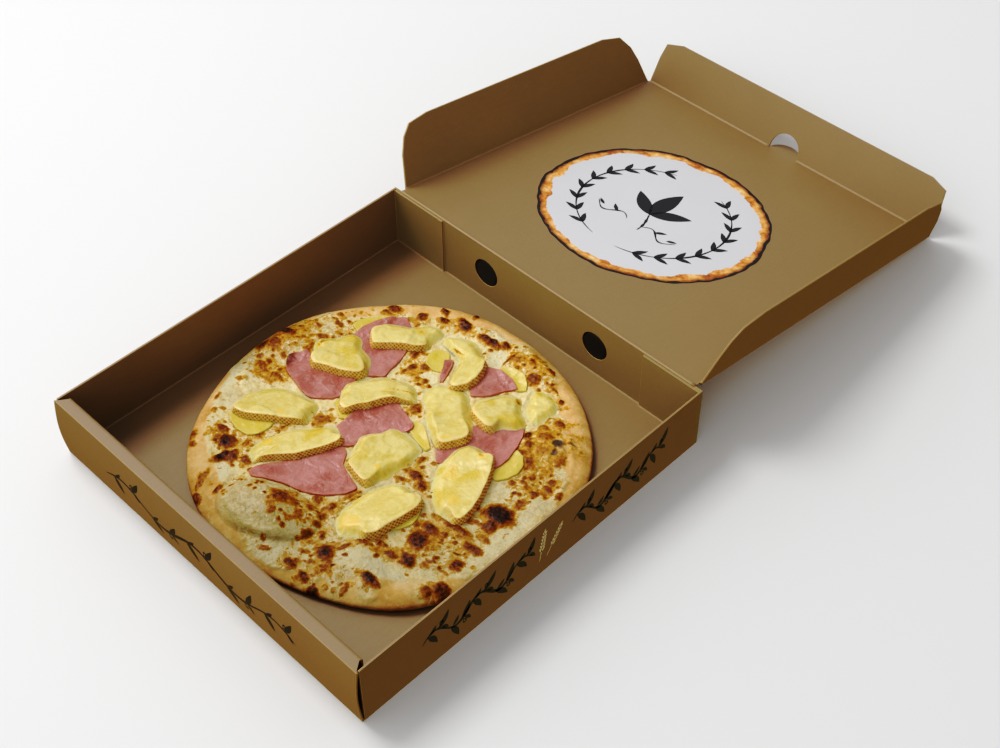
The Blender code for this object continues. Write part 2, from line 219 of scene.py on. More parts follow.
def srgb(red, green, blue):
    """A colour given as 0 to 255 on screen, as the linear values that shaders use."""

    def linear(value):
        value /= 255
        return value / 12.92 if value <= 0.04045 else ((value + 0.055) / 1.055) ** 2.4

    return (linear(red), linear(green), linear(blue))


def feed(tree, node, key, value):
    """Links a node's socket to another node's output, or sets it."""
    socket = node.inputs[key]
    if isinstance(value, bpy.types.NodeSocket):
        tree.links.new(value, socket)
    elif socket.type == "RGBA" and len(value) == 3:
        socket.default_value = (*value, 1.0)
    else:
        socket.default_value = value


class Finish:
    """A Principled material, and short ways to add the nodes that feed it."""

    def __init__(self, name, roughness=0.5, **constants):
        self.material = bpy.data.materials.new(name)
        self.material.use_nodes = True
        self.tree = self.material.node_tree
        self.shader = self.tree.nodes["Principled BSDF"]
        self.shader.inputs["Roughness"].default_value = roughness
        for key, value in constants.items():
            self.shader.inputs[key.replace("_", " ")].default_value = value

    def put(self, node, key, value):
        """Links a socket to another node's output, or sets it."""
        feed(self.tree, node, key, value)

    def node(self, kind, inputs=None, **settings):
        """A new node with its settings and inputs."""
        made = self.tree.nodes.new(kind)
        for key, value in settings.items():
            setattr(made, key, value)
        for key, value in (inputs or {}).items():
            self.put(made, key, value)
        return made

    def attribute(self, name, output="Fac"):
        """What the mesh holds at each point under a name."""
        return self.node("ShaderNodeAttribute", attribute_name=name).outputs[output]

    def place(self, stretch=(1.0, 1.0, 1.0), turn=(0.0, 0.0, 0.0)):
        """Object coordinates in metres, stretched and turned."""
        at = self.node("ShaderNodeTexCoord").outputs["Object"]
        return self.node(
            "ShaderNodeMapping", {"Vector": at, "Scale": stretch, "Rotation": turn}
        ).outputs["Vector"]

    def noise(self, size, detail=2.0, rough=0.5, at=None, distort=0.0):
        """Noise from 0 to 1 with features about size metres wide."""
        return self.node("ShaderNodeTexNoise", {
            "Vector": at or self.place(), "Scale": 1 / size, "Detail": detail,
            "Roughness": rough, "Distortion": distort,
        }).outputs["Fac"]

    def cells(self, size):
        """Distance from the nearest of scattered points about size metres apart."""
        return self.node("ShaderNodeTexVoronoi", {
            "Vector": self.place(), "Scale": 1 / size,
        }).outputs["Distance"]

    def math(self, operation, a, b=0.0, clamp=False):
        """A sum on one or two values."""
        made = self.node("ShaderNodeMath", operation=operation, use_clamp=clamp)
        self.put(made, 0, a)
        self.put(made, 1, b)
        return made.outputs[0]

    def remap(self, value, low, high, to_low=0.0, to_high=1.0):
        """A smooth rise from to_low to to_high as the value goes from low to high."""
        return self.node("ShaderNodeMapRange", {
            "Value": value, "From Min": low, "From Max": high, "To Min": to_low, "To Max": to_high,
        }, interpolation_type="SMOOTHSTEP").outputs["Result"]

    def mix(self, share, a, b, blend="MIX"):
        """Colour a with a share of colour b."""
        made = self.node("ShaderNodeMix", data_type="RGBA", blend_type=blend)
        for key, value in ((0, share), (6, a), (7, b)):
            self.put(made, key, value)
        return made.outputs[2]

    def ramp(self, value, *stops):
        """A colour ramp over (place, colour) stops."""
        made = self.node("ShaderNodeValToRGB", {"Fac": value})
        points = made.color_ramp.elements
        while len(points) < len(stops):
            points.new(1.0)
        for point, (place, colour) in zip(points, stops):
            point.position = place
            point.color = (*colour, 1.0)
        return made.outputs["Color"]

    def bump(self, height, distance, strength=1.0, over=None):
        """A normal for fine relief, distance metres high."""
        inputs = {"Height": height, "Distance": distance, "Strength": strength}
        if over is not None:
            inputs["Normal"] = over
        return self.node("ShaderNodeBump", inputs).outputs["Normal"]

    def finish(self, colour, normal=None, roughness=None):
        """Feeds the shader and gives back the material."""
        self.put(self.shader, "Base Color", colour)
        if normal is not None:
            self.put(self.shader, "Normal", normal)
        if roughness is not None:
            self.put(self.shader, "Roughness", roughness)
        return self.material


BACK_WALL_PAINTED_LIGHT = (0.95, 1.14, 1.10)  # painted light: the back wall's board tinted greener and paler against the rest of the tray


def board_material(name, colour, lighter=1.0, far_wall=None):
    """Brown kraft board: fine fibres, faint clouding and the faintest flutes.

    far_wall is where along the box its back wall starts; from there the board is tinted greener and paler,
    painted light for how that wall is lit.
    """
    look = Finish(name, roughness=0.62, Specular_IOR_Level=1.0)
    long_fibres = look.noise(0.0016, 3.0, 0.6, look.place((1.0, 0.16, 0.5)))
    specks = look.noise(0.0011, 2.0, 0.7)
    clouds = look.noise(0.060, 3.0, 0.5)
    tone = [c * lighter for c in colour]
    base = look.mix(clouds, [c * 0.93 for c in tone], [c * 1.07 for c in tone])
    base = look.mix(look.remap(long_fibres, 0.35, 0.75, 0.0, 0.14), base, [c * 1.35 for c in tone])
    base = look.mix(look.remap(specks, 0.62, 0.80, 0.0, 0.22), base, [c * 0.62 for c in tone])
    # painted light: past far_wall the board takes a greener, paler tint
    if far_wall is not None:
        along = look.node("ShaderNodeSeparateXYZ", {"Vector": look.place()}).outputs["Y"]
        is_far = look.remap(along, far_wall, far_wall + 0.0005)
        base = look.mix(is_far, base, BACK_WALL_PAINTED_LIGHT, blend="MULTIPLY")
    flutes = look.node("ShaderNodeTexWave", {
        "Vector": look.place(), "Scale": 22.0, "Distortion": 0.3, "Detail": 0.0,
    }, wave_type="BANDS", bands_direction="Y").outputs["Fac"]
    normal = look.bump(long_fibres, 0.00008, 0.35)
    normal = look.bump(flutes, 0.00005, 0.25, normal)
    return look.finish(base, normal, look.remap(specks, 0.3, 0.8, 0.58, 0.70))


def edge_material(name, colour):
    """The paler paper that shows along cut edges and stretched folds."""
    look = Finish(name, roughness=0.6)
    fibres = look.noise(0.0007, 3.0, 0.6)
    base = look.mix(fibres, [c * 0.80 for c in colour], [c * 1.12 for c in colour])
    return look.finish(base, look.bump(fibres, 0.0001, 0.4))


def ink_material(name, colour):
    """Printing ink sunk a little unevenly into the board."""
    look = Finish(name, roughness=0.42)
    grain = look.noise(0.0010, 3.0, 0.6)
    base = look.mix(grain, colour, [c * 1.5 + 0.004 for c in colour])
    return look.finish(base, look.bump(grain, 0.00005, 0.3))


# The cheese's colours, by how far it has browned
BROWNING = (
    (0.00, srgb(222, 188, 108)), (0.16, srgb(206, 154, 56)), (0.36, srgb(180, 122, 32)),
    (0.56, srgb(150, 92, 22)), (0.76, srgb(114, 62, 16)), (0.92, srgb(76, 38, 13)), (1.00, srgb(46, 22, 10)),
)


def baked_material(cream, pale, gold):
    """The base: melted cheese that takes colour from gold to brown, and bare floury crust."""
    look = Finish("baked_base", roughness=0.40, Subsurface_Weight=0.05, Subsurface_Scale=0.002)
    look.shader.inputs["Subsurface Radius"].default_value = (1.0, 0.6, 0.25)
    look.shader.inputs["Specular IOR Level"].default_value = 0.22
    brown, crust, white = look.attribute("brown"), look.attribute("crust"), look.attribute("white")
    char, shade = look.attribute("char"), look.attribute("shade")
    golden, tan, painted_front_shade = look.attribute("golden"), look.attribute("tan"), look.attribute("painted_front_shade")
    fine = look.noise(0.0022, 4.0, 0.6)
    curds = look.noise(0.0065, 3.0, 0.55, distort=0.8)
    veins = look.noise(0.0042, 3.0, 0.6, distort=1.2)
    pores = look.cells(0.0017)
    painted_glints = look.noise(0.0030, 2.0, 0.5, look.place((1.0, 1.0, 1.0), (0.4, 0.2, 0.9)))
    cheese = look.mix(look.remap(curds, 0.36, 0.62), cream, pale)
    cheese = look.mix(white, cheese, srgb(224, 215, 174))
    cheese = look.mix(look.remap(veins, 0.52, 0.70, 0.0, 0.65), cheese, srgb(206, 172, 96))
    cheese = look.mix(look.remap(fine, 0.26, 0.44, 0.55, 0.0), cheese, srgb(188, 152, 80))
    streaks = look.remap(look.math("ADD", golden, look.remap(veins, 0.3, 0.7, -0.35, 0.35)), 0.10, 0.62)
    cheese = look.mix(look.math("MULTIPLY", streaks, look.remap(golden, 0.02, 0.15)), cheese, look.mix(
        look.remap(curds, 0.40, 0.60), srgb(208, 164, 84), srgb(180, 124, 34)
    ))
    skin = look.mix(look.remap(veins, 0.35, 0.65), srgb(214, 198, 152), srgb(186, 164, 110))
    cheese = look.mix(look.math("MULTIPLY", tan, 0.90), cheese, skin)
    # painted highlights: small near-white flecks stand in for glints on the wet cheese
    cheese = look.mix(look.remap(painted_glints, 0.66, 0.72, 0.0, 0.75), cheese, srgb(244, 238, 208))
    toasted = look.noise(0.013, 4.0, 0.62, distort=0.4)
    flour = look.noise(0.0036, 5.0, 0.7)
    dough = look.ramp(
        look.math("ADD", look.math("MULTIPLY", toasted, 0.75), look.math("MULTIPLY", shade, 0.60)),
        (0.26, srgb(240, 216, 162)), (0.50, gold), (0.76, srgb(204, 152, 88)), (1.0, srgb(136, 84, 40)),
    )
    dough = look.mix(look.remap(flour, 0.50, 0.74, 0.0, 0.60), dough, srgb(242, 222, 172))
    dough = look.mix(look.remap(pores, 0.0, 0.24, 0.45, 0.0), dough, srgb(158, 104, 46))
    base = look.mix(crust, cheese, dough)
    crumbs = look.noise(0.0026, 4.0, 0.65)
    lumps = look.math("ADD", brown, look.remap(crumbs, 0.25, 0.75, -0.26, 0.20), clamp=True)
    lumps = look.math("MULTIPLY", lumps, look.remap(brown, 0.02, 0.16))
    base = look.mix(look.remap(lumps, 0.03, 0.20), base, look.ramp(lumps, *BROWNING))
    ash = look.mix(fine, srgb(62, 46, 40), srgb(104, 84, 70))
    base = look.mix(look.remap(char, 0.25, 0.85), base, ash)
    # painted shade: the whole base is darkened towards the front-right, by x minus y
    base = look.mix(painted_front_shade, base, (0.70, 0.68, 0.62), blend="MULTIPLY")
    normal = look.bump(veins, 0.0012, look.mix(crust, (0.55,) * 3, (0.1,) * 3))
    normal = look.bump(fine, 0.0007, 0.5, normal)
    normal = look.bump(flour, 0.0006, look.mix(crust, (0.15,) * 3, (0.55,) * 3), normal)
    normal = look.bump(pores, 0.0003, 0.3, normal)
    return look.finish(base, normal, look.mix(crust, (0.32,) * 3, (0.80,) * 3))


def cheese_material(face, rind_colour):
    """Soft-ripened cheese, melted pale and shiny inside, with a ridged ochre rind outside."""
    look = Finish("melted_cheese", roughness=0.30, Subsurface_Weight=0.45, Subsurface_Scale=0.006)
    look.shader.inputs["Subsurface Radius"].default_value = (1.0, 0.8, 0.3)
    look.shader.inputs["Specular IOR Level"].default_value = 0.35
    rind, edge, toast = look.attribute("rind"), look.attribute("edge"), look.attribute("toast")
    fine = look.noise(0.0020, 4.0, 0.6)
    soft = look.noise(0.0110, 2.0, 0.5, distort=1.2)
    pools = look.noise(0.0230, 1.0, 0.5, distort=0.6)
    inside = look.mix(look.remap(soft, 0.35, 0.65), face, srgb(216, 194, 104))
    inside = look.mix(look.remap(pools, 0.56, 0.74, 0.0, 0.75), inside, srgb(210, 180, 62))
    inside = look.mix(look.remap(fine, 0.50, 0.72, 0.0, 0.35), inside, srgb(228, 220, 156))
    inside = look.mix(look.math("MULTIPLY", edge, 0.60), inside, srgb(216, 180, 116))
    inside = look.mix(look.remap(toast, 0.02, 0.22, 0.0, 0.8), inside, srgb(232, 198, 90))
    toasted = look.math("ADD", toast, look.remap(fine, 0.3, 0.7, -0.10, 0.10), clamp=True)
    inside = look.mix(look.remap(toasted, 0.26, 0.42), inside, look.ramp(toasted, *BROWNING))
    around = look.attribute("rind_at", "Vector")
    crossed = look.node("ShaderNodeMapping", {"Vector": around, "Scale": (1, -1, 1)}).outputs["Vector"]
    rising, falling = (look.node("ShaderNodeTexWave", {
        "Vector": at, "Scale": TAU / 10 / RIDGE_GAP, "Distortion": 0.7, "Detail": 2.0, "Detail Scale": 0.6,
    }, wave_type="BANDS", bands_direction="DIAGONAL").outputs["Fac"] for at in (around, crossed))
    ridges = look.math("MULTIPLY", look.math("ADD", rising, falling), 0.5)
    mould = look.noise(0.0045, 3.0, 0.6)
    outside = look.ramp(
        look.math("ADD", look.math("MULTIPLY", ridges, 0.95), look.remap(mould, 0.3, 0.7, -0.15, 0.20)),
        (0.12, srgb(160, 112, 44)), (0.40, rind_colour), (0.80, srgb(232, 200, 134)),
    )
    # painted light: the flanks away from the rind are made paler and warmer so they read bright in shade
    flank_painted_light = look.math("MULTIPLY", look.attribute("rim"), look.math("SUBTRACT", 1.0, rind))
    inside = look.mix(look.math("MULTIPLY", flank_painted_light, 0.6), inside, srgb(238, 222, 150))
    base = look.mix(rind, inside, outside)
    waves = look.noise(0.0042, 2.0, 0.5)
    normal = look.bump(waves, 0.0012, look.mix(rind, (0.35,) * 3, (0.15,) * 3))
    normal = look.bump(fine, 0.0006, 0.5, normal)
    normal = look.bump(look.math("MULTIPLY", ridges, rind), 0.0005, 0.7, normal)
    return look.finish(base, normal, look.mix(rind, (0.22,) * 3, (0.55,) * 3))


def ham_material(pink):
    """Cooked ham: softly mottled pink muscle, a few pale seams and a wet shine."""
    look = Finish("cooked_ham", roughness=0.30, Subsurface_Weight=0.12, Subsurface_Scale=0.004)
    look.shader.inputs["Subsurface Radius"].default_value = (1.0, 0.35, 0.3)
    look.shader.inputs["Specular IOR Level"].default_value = 0.35
    muscle = look.noise(0.030, 2.0, 0.5, distort=0.8)
    cloud = look.noise(0.009, 3.0, 0.55, distort=0.8)
    grain = look.noise(0.0022, 3.0, 0.6, look.place((1.0, 0.55, 1.0), (0.0, 0.0, 0.6)))
    rim, toast = look.attribute("rim"), look.attribute("toast")
    base = look.mix(look.remap(muscle, 0.36, 0.64), pink, srgb(166, 96, 86))
    base = look.mix(look.remap(cloud, 0.46, 0.70, 0.0, 0.55), base, srgb(196, 138, 128))
    base = look.mix(look.remap(grain, 0.55, 0.80, 0.0, 0.30), base, srgb(200, 144, 130))
    base = look.mix(look.math("MULTIPLY", rim, 0.35), base, srgb(196, 124, 104))
    base = look.mix(look.remap(toast, 0.1, 0.9), base, srgb(112, 44, 20))
    normal = look.bump(grain, 0.0005, 0.40)
    normal = look.bump(cloud, 0.0020, 0.55, normal)
    return look.finish(base, normal, look.remap(grain, 0.3, 0.7, 0.20, 0.40))


def potato_material(flesh):
    """Boiled potato: waxy and clear yellow, deeper at the rim."""
    look = Finish("potato_flesh", roughness=0.28, Subsurface_Weight=0.2, Subsurface_Scale=0.005)
    look.shader.inputs["Subsurface Radius"].default_value = (1.0, 0.8, 0.3)
    look.shader.inputs["Specular IOR Level"].default_value = 0.35
    starch = look.noise(0.0020, 3.0, 0.6)
    patch = look.noise(0.014, 2.0, 0.5)
    rim, toast = look.attribute("rim"), look.attribute("toast")
    base = look.mix(look.remap(patch, 0.35, 0.65), flesh, srgb(214, 192, 96))
    base = look.mix(look.remap(starch, 0.50, 0.75, 0.0, 0.3), base, srgb(222, 204, 124))
    base = look.mix(look.math("MULTIPLY", rim, 0.5), base, srgb(212, 190, 104))
    base = look.mix(look.remap(toast, 0.1, 0.8, 0.0, 0.85), base, srgb(196, 130, 44))
    normal = look.bump(look.noise(0.0050, 2.0), 0.0012, 0.5)
    return look.finish(base, look.bump(starch, 0.0003, 0.35, normal))


# ---------------------------------------------------------------- what lies where

# Outlines of the slices, counter-clockwise, in millimetres from the middle of each one's node.
# The number in front says how many of the first corners lie along the slice's rind.
POTATO_SLICES = (
    (0, ((-9.5, 4), (-8.5, -2), (-3.5, -8.5), (5, -9.5), (13, -6), (11, 2), (2.5, 11.5), (-5.5, 10))),
    (0, ((-17, -11.5), (-8.5, -13.5), (-2.5, -5.5), (3.5, 5), (1.5, 17), (-4.5, 13), (-10.5, 5),
        (-16, -3.5))),
    (0, ((-16, 8), (-15, 2), (-3, -1), (9, -3), (15, 2), (11, 7), (3, 12), (-7, 11))),
    (0, ((-18, -10), (-6, -13), (3, -14), (8, -6), (10, 2), (8, 10), (2, 16), (-5, 17), (-14, 8))),
    (0, ((-10.5, -12), (-0.5, -13), (5.5, -10), (9.5, -4), (12.5, 4), (11.5, 10), (6.5, 19), (-4.5, 20),
        (-12.5, 4))),
    (0, ((-19, -5.5), (-11.5, -9.5), (-1.5, -11.5), (8.5, -9.5), (13.5, -3.5), (14.5, 6.5), (12.5, 14.5),
        (-1.5, 12.5), (-13.5, 4.5))),
    (0, ((-11.5, 5), (-3.5, 0), (3.5, -3), (8.5, 0), (8.5, 11.5), (0.5, 14.5), (-9.5, 11.5))),
    (0, ((-8, 0.5), (-5, -5.5), (7, -9.5), (19, -11.5), (20, -7.5), (11, -1.5), (1, 4), (-7, 4.5))),
)
HAM_SLICES = (
    (0, ((-26.5, 4), (-25.5, -8), (-17.5, -24), (-3.5, -32), (10.5, -30), (19.5, -22), (25.5, -18),
        (22.5, -8), (20.5, 4), (16.5, 14.5), (6.5, 30.5), (-3.5, 35.5), (-9.5, 37.5), (-17.5, 28.5),
        (-23.5, 17.5))),
    (0, ((-41.5, -2), (-37.5, -8), (-29.5, -14), (-19.5, -16), (-7.5, -19), (2.5, -20), (10.5, -15),
        (18.5, -8), (20.5, 0), (18.5, 13), (12.5, 22), (-4.5, 22), (-19.5, 17), (-27.5, 9), (-33.5, 12),
        (-35.5, 7))),
    (0, ((-11.5, 30), (-15.5, 21), (-19.5, 11), (-21.5, -1), (-21.5, -18.5), (-13.5, -21.5),
        (-5.5, -29.5), (0.5, -25.5), (6.5, -13.5), (12.5, -1), (17.5, 9), (22.5, 18), (20.5, 22),
        (8.5, 26), (-3.5, 29))),
    (0, ((-2.5, 37), (-6.5, 23), (-12.5, 9), (-23, -7), (-32, -21), (-32, -29), (-25, -32), (-15, -25),
        (-2.5, -18), (9.5, -14), (23.5, -5), (33.5, 7), (36.5, 17), (23.5, 20), (11.5, 24), (5.5, 33))),
    (0, ((-20.5, 13.5), (-17.5, 1.5), (-12.5, -8.5), (-4.5, -16.5), (3, -9.5), (7, -0.5), (11, 7.5),
        (17, 13.5), (7, 17.5), (-5.5, 18.5), (-13.5, 16.5))),
    (0, ((-24.5, -22.5), (-18.5, -28.5), (-11.5, -34.5), (-3.5, -30.5), (8.5, -20.5), (21.5, -12.5),
        (24.5, -6.5), (24.5, 3.5), (21.5, 15.5), (16.5, 27.5), (10.5, 35.5), (-3.5, 25.5), (-13.5, 17.5),
        (-19.5, 5.5), (-23.5, -8.5))),
    (0, ((-6.5, 6), (-0.5, -1), (2.5, -7), (6.5, -11.5), (8.5, -10), (5.5, -2), (2.5, 6), (-1.5, 11))),
)
CHEESE_SLICES = (
    (7, ((-25, -14), (-16.5, -22), (-11, -25.5), (-2.5, -17), (6.5, -9), (14.5, -4), (20.5, 4),
        (20.5, 16.5), (20, 24.5), (11.5, 27.5), (2.5, 24.5), (-2.5, 17.5), (-7.5, 10.5), (-16.5, 4.5),
        (-24.5, -2.5))),
    (6, ((13.5, -22.5), (19.5, -19.5), (24.5, -11.5), (25, -1.5), (21.5, 8.5), (15.5, 17.5), (3, 26),
        (-8, 27.5), (-19, 24), (-27.5, 17), (-27, 9), (-18, 6), (-8, 6.5), (-1, 3), (3, -4.5),
        (7, -13.5))),
    (7, ((-19.5, -14), (-13.5, -20.5), (-8.5, -21.5), (1.5, -17), (13.5, -12), (22.5, -6), (26.5, 2),
        (21.5, 11.5), (15.5, 16), (8.5, 17.5), (2.5, 18.5), (-0.5, 22.5), (-5.5, 25.5), (-13, 25),
        (-18, 20.5), (-21, 11.5), (-25, 5.5), (-29, 1.5), (-28, -6))),
    (9, ((-11, -29), (-3, -32), (0.5, -30), (2, -23), (7, -15), (11, -4), (17, 4), (25, 9), (31, 13),
        (23.5, 22.5), (13.5, 26.5), (3.5, 23.5), (-6.5, 17.5), (-14.5, 9.5), (-21.5, -1), (-24.5, -11),
        (-21.5, -19))),
    (7, ((-25, -18), (-19, -24), (-11, -22), (-1, -15), (9, -7), (19, 1), (28, 7), (25.5, 17), (23, 25),
        (17, 28), (5, 26), (-7, 23), (-17, 18), (-23, 11), (-27, 2.5), (-30, -6.5))),
    (8, ((-10.5, -32.5), (-7.5, -25.5), (-0.5, -16.5), (8.5, -6.5), (13.5, 3.5), (18.5, 14.5),
        (21.5, 24.5), (18.5, 30.5), (8, 36), (0.5, 32.5), (-6.5, 22.5), (-14.5, 14.5), (-20.5, 2.5),
        (-24.5, -12), (-24.5, -22), (-22.5, -29))),
    (7, ((8.5, -21), (13.5, -11), (15.5, -1), (17.5, 11), (18.5, 23), (15.5, 30), (8.5, 33.5), (-6.5, 35),
        (-15, 29), (-21, 13.5), (-23, 0.5), (-23, -12.5), (-20, -22.5), (-12.5, -29.5), (-4.5, -31.5),
        (1.5, -26.5))),
    (3, ((-10.5, -20), (2.5, -22.5), (16.5, -24.5), (18, -17), (21, -9), (22, 1), (24, 11), (23, 21),
        (20, 29), (11, 32), (-1, 33), (-9, 31), (-14.5, 27), (-15.5, 20), (-20.5, 13), (-24.5, 5),
        (-21.5, -1), (-18.5, -9))),
    (8, ((20, -31.5), (23.5, -25.5), (22.5, -15.5), (19, -4.5), (14, 6.5), (8, 18.5), (1, 28.5),
        (-5, 32.5), (-17.5, 33), (-25.5, 30), (-29.5, 19.5), (-28.5, 9.5), (-27.5, -0.5), (-24.5, -8.5),
        (-18.5, -16.5), (-11.5, -24.5), (-2, -30.5), (6, -33.5), (13, -31.5))),
    (5, ((-18, -13.5), (-12, -17), (-5, -19), (3, -20.5), (10, -19.5), (13.5, -11.5), (21.5, -5.5),
        (24.5, 1.5), (21.5, 7.5), (13.5, 11.5), (7.5, 16.5), (1.5, 22.5), (-6.5, 20.5), (-12.5, 15.5),
        (-16.5, 8.5), (-19.5, 0.5), (-22.5, -5.5))),
    (4, ((14.5, -22.5), (20.5, -14.5), (25.5, -3.5), (25.5, 3.5), (17, 14.5), (10, 19.5), (3, 25.5),
        (-4, 31), (-13, 33.5), (-23.5, 29.5), (-32.5, 24.5), (-35.5, 16.5), (-34.5, 7.5), (-30.5, 2.5),
        (-25.5, 1.5), (-19, -2.5), (-13, -9.5), (-5, -14.5), (4, -18.5))),
    (0, ((-14.5, -5), (-12.5, -9.5), (-6, -14.5), (1, -18.5), (7, -14.5), (10, -7), (10, 2), (8, 9),
        (2, 13), (-6, 15), (-14.5, 13), (-19.5, 9), (-18.5, 3))),
)

# Browned places on the cheese slices: (slice, x, y, long radius, short radius, turn, depth)
CHEESE_TOAST = (
    (1, -22, 101, 9, 0.9, 0, 0.42), (1, -12.5, 92, 1.5, 1.5, 0, 0.45), (3, -22, 40, 12, 0.9, 38, 0.36),
    (2, -105, 32, 3, 7, 0, 0.36), (4, -54, -20, 8, 1.2, 20, 0.36), (5, -56, -20, 9, 1.2, 50, 0.3),
    (5, -58, -64, 7, 5, 0, 0.2), (7, 36, -4, 5, 3, 0, 0.45), (8, 69, 35, 4, 3, 0, 0.34),
    (8, 64, 10, 9, 6, -60, 0.16), (8, 84, -8, 6, 5, 0, 0.16), (9, 48, 97, 5, 3, -30, 0.4),
    (9, 30, 78, 5, 3, 0, 0.22), (10, 38, 30, 4, 1, 50, 0.3), (6, 44, -72, 9, 8, 0, 0.18),
    (0, -58, 94, 4, 3, 0, 0.32), (11, 64, 115, 7, 1.2, 0, 0.3), (1, -20, 84, 8, 6, 0, 0.14),
    (7, 22, -24, 4, 2, 0, 0.2), (4, -70, -40, 8, 4, 0, 0.14),
)
HAM_TOAST = ((1, -114, 3, 7, 10, 20, 0.9), (3, -34, -82, 16, 3, 47, 0.25))

# Width of the bare crust at the pizza's edge, in millimetres, by degrees around it
CRUST_WIDTHS = (
    (0, 9), (15, 11), (30, 16), (45, 23), (57, 19), (66, 12), (74, 8), (84, 6), (92, 9), (103, 12),
    (115, 14), (128, 16), (145, 15), (155, 12), (165, 5), (185, 3), (195, 4), (205, 7), (215, 10),
    (225, 14), (235, 20), (245, 22), (255, 17), (265, 12), (272, 6), (282, 5), (290, 9), (300, 16),
    (312, 22), (325, 20), (336, 13), (346, 6), (360, 9),
)

# Browned blisters of the cheese: (x, y, long radius, short radius, turn, depth)
BLISTERS = (
    (115, 8, 13, 10, 10, 1.0), (117, -4, 6, 6, 0, 0.85), (88, -34, 9, 5, -5, 0.78),
    (89, -47, 10, 8, -25, 0.9), (100, -21, 13, 3, 8, 0.7), (122, -26, 9, 5, 0, 0.75),
    (98, -31, 4, 3, 0, 0.6), (124, -44, 5, 6, 0, 0.8), (96, -64, 7, 6, 0, 0.82), (84, -69, 6, 3, 10, 0.7),
    (71, -68, 3, 3, 0, 0.7), (63, -76, 6, 3, 30, 0.6), (132, -66, 7, 6, 0, 0.8),
    (126, -74, 5, 4, 40, 0.7), (92, -95, 10, 4.5, -5, 0.92), (50, -100, 7, 8, 0, 0.9),
    (83, -112, 2.5, 6, 20, 0.48), (40, -124, 6, 3.5, 0, 0.8), (55, -124, 6, 3, -10, 0.8),
    (68, -128, 5, 4.5, 0, 0.85), (10, -73, 4, 4, 0, 0.62), (22, -70, 3.5, 6, 0, 0.68),
    (24, -53, 2.5, 9, -10, 0.48), (36, 6, 3, 4, 0, 0.62), (44, -8, 8, 4, 0, 0.8),
    (55, -11, 5, 4, -30, 0.75), (39, -17, 6, 2.5, 15, 0.58), (-4, 38, 4.5, 5.5, 0, 0.68),
    (-47, 77, 4, 5, 0, 0.72), (-31, 72, 4, 4, 0, 0.72), (-38, 66, 3.5, 4.5, 0, 0.8),
    (-20, 62, 3.5, 3, 0, 0.68), (-40, 125, 9, 5.5, -5, 0.95), (-13, 126, 13, 3.5, 5, 0.9),
    (0, 131, 5, 3.5, 0, 0.78), (-40, 138, 2.5, 4, 20, 0.85), (-62, 125, 5, 3.5, -20, 0.85),
    (-56, 117, 6, 3, 20, 0.85), (-72, 108, 4, 6, -30, 0.82), (-95, 99, 6, 5, 0, 0.78),
    (-97, 91, 4, 4, 0, 0.65), (-120, 64, 4, 3, 0, 0.62), (46, 134, 5, 3, 0, 0.66),
    (41, 120, 6, 5, 0, 0.78), (58, 123, 8, 1.5, -5, 0.7), (72, 118, 2.5, 3, 0, 0.85),
    (86, 101, 6, 3.5, -10, 0.8), (76, 77, 4, 5, 0, 0.85), (83, 71, 5, 4, -30, 0.78),
    (94, 60, 5, 3.5, -40, 0.72), (121, 57, 4, 4, 0, 0.7), (122, 50, 5, 3.5, 0, 0.76),
    (107, 50, 3.5, 3, 0, 0.66), (105, 43, 4, 2.5, 0, 0.62), (118, 40, 4, 4, 0, 0.76),
    (99, 37, 3, 3, 0, 0.62), (134, 50, 3, 4, 0, 0.6), (118, 27, 4, 7, 0, 0.6), (-134, 19, 9, 6, 20, 0.9),
    (-139, -1, 5, 7, 10, 0.75), (-113, 36, 4, 3, 0, 0.66), (-130, 30, 8, 5, 50, 0.35),
    (-122, -16, 9, 3, -12, 0.62), (-105, -15, 7, 3, 0, 0.68), (-132, -11, 4, 2.5, 0, 0.62),
    (-122, -38, 4, 3, 0, 0.52), (-93, -79, 6, 4, 0, 0.72), (-81, -83, 9, 7, 10, 0.92),
    (-72, -96, 4, 9, -10, 1.0), (-66, -90, 4, 8, 30, 0.8), (-56, -86, 5, 3, 0, 0.7),
    (-69, -74, 3, 5, 0, 0.6), (-47, -20, 7, 5, 40, 0.62), (-61, -45, 1.5, 5, -10, 0.62),
    (-46, -119, 3, 5, 20, 0.7), (-42, -102, 3, 1.2, 30, 0.6), (-104, -97, 3, 6, 40, 0.66),
    (-97, -103, 4, 3, 0, 0.62), (-3, -95, 9, 7, 0, 0.72), (5, -90, 6, 4, -30, 0.55),
    (14, -83.5, 3.5, 3.5, 0, 0.6), (24, -81.5, 3.5, 4, 0, 0.66), (30, -99.5, 3.5, 5, 0, 0.6),
    (3, -108, 3, 4.5, -20, 0.56), (38.5, -109.7, 5, 2.5, 30, 0.5), (18.5, -127.5, 5, 2.5, 40, 0.5),
    (28, -89, 4, 3, 30, 0.6), (-122, -60, 2, 4, 20, 0.55), (-112, -72, 3, 3, 0, 0.5),
    (-108, -66, 3, 2, 30, 0.5), (56, -88, 2.5, 6, -20, 0.6), (24, 120, 3, 3, 0, 0.6),
    (16, 126, 3, 3, 0, 0.58), (30, 130, 3, 3, 0, 0.6), (-26, 60, 3, 3, 0, 0.55),
    (-68, -62, 3, 5, 10, 0.5), (-110, 22, 3, 8, 15, 0.6), (-64, -120, 3.5, 13, 24, 0.5),
    (-53, -133, 6, 3, -15, 0.7), (12, 124, 1.5, 9, -10, 0.75), (108, -60, 4, 3, 0, 0.5),
    (96, -8, 3, 4, 0, 0.5), (62, -108, 8, 3, -25, 0.42), (-133, 6, 6, 4, 20, 0.72),
    (97, -8, 7, 4, -10, 0.55), (92, -2, 5, 3, 10, 0.5), (122, -14, 6, 3, 0, 0.5),
    (88, 84, 7, 4, 30, 0.62), (80, 92, 5, 3, 10, 0.6), (112, 74, 6, 3, 40, 0.55),
    (-25, -97, 3.2, 1.8, 0, 0.62), (36, -92, 2.5, 4, 0, 0.6),
)
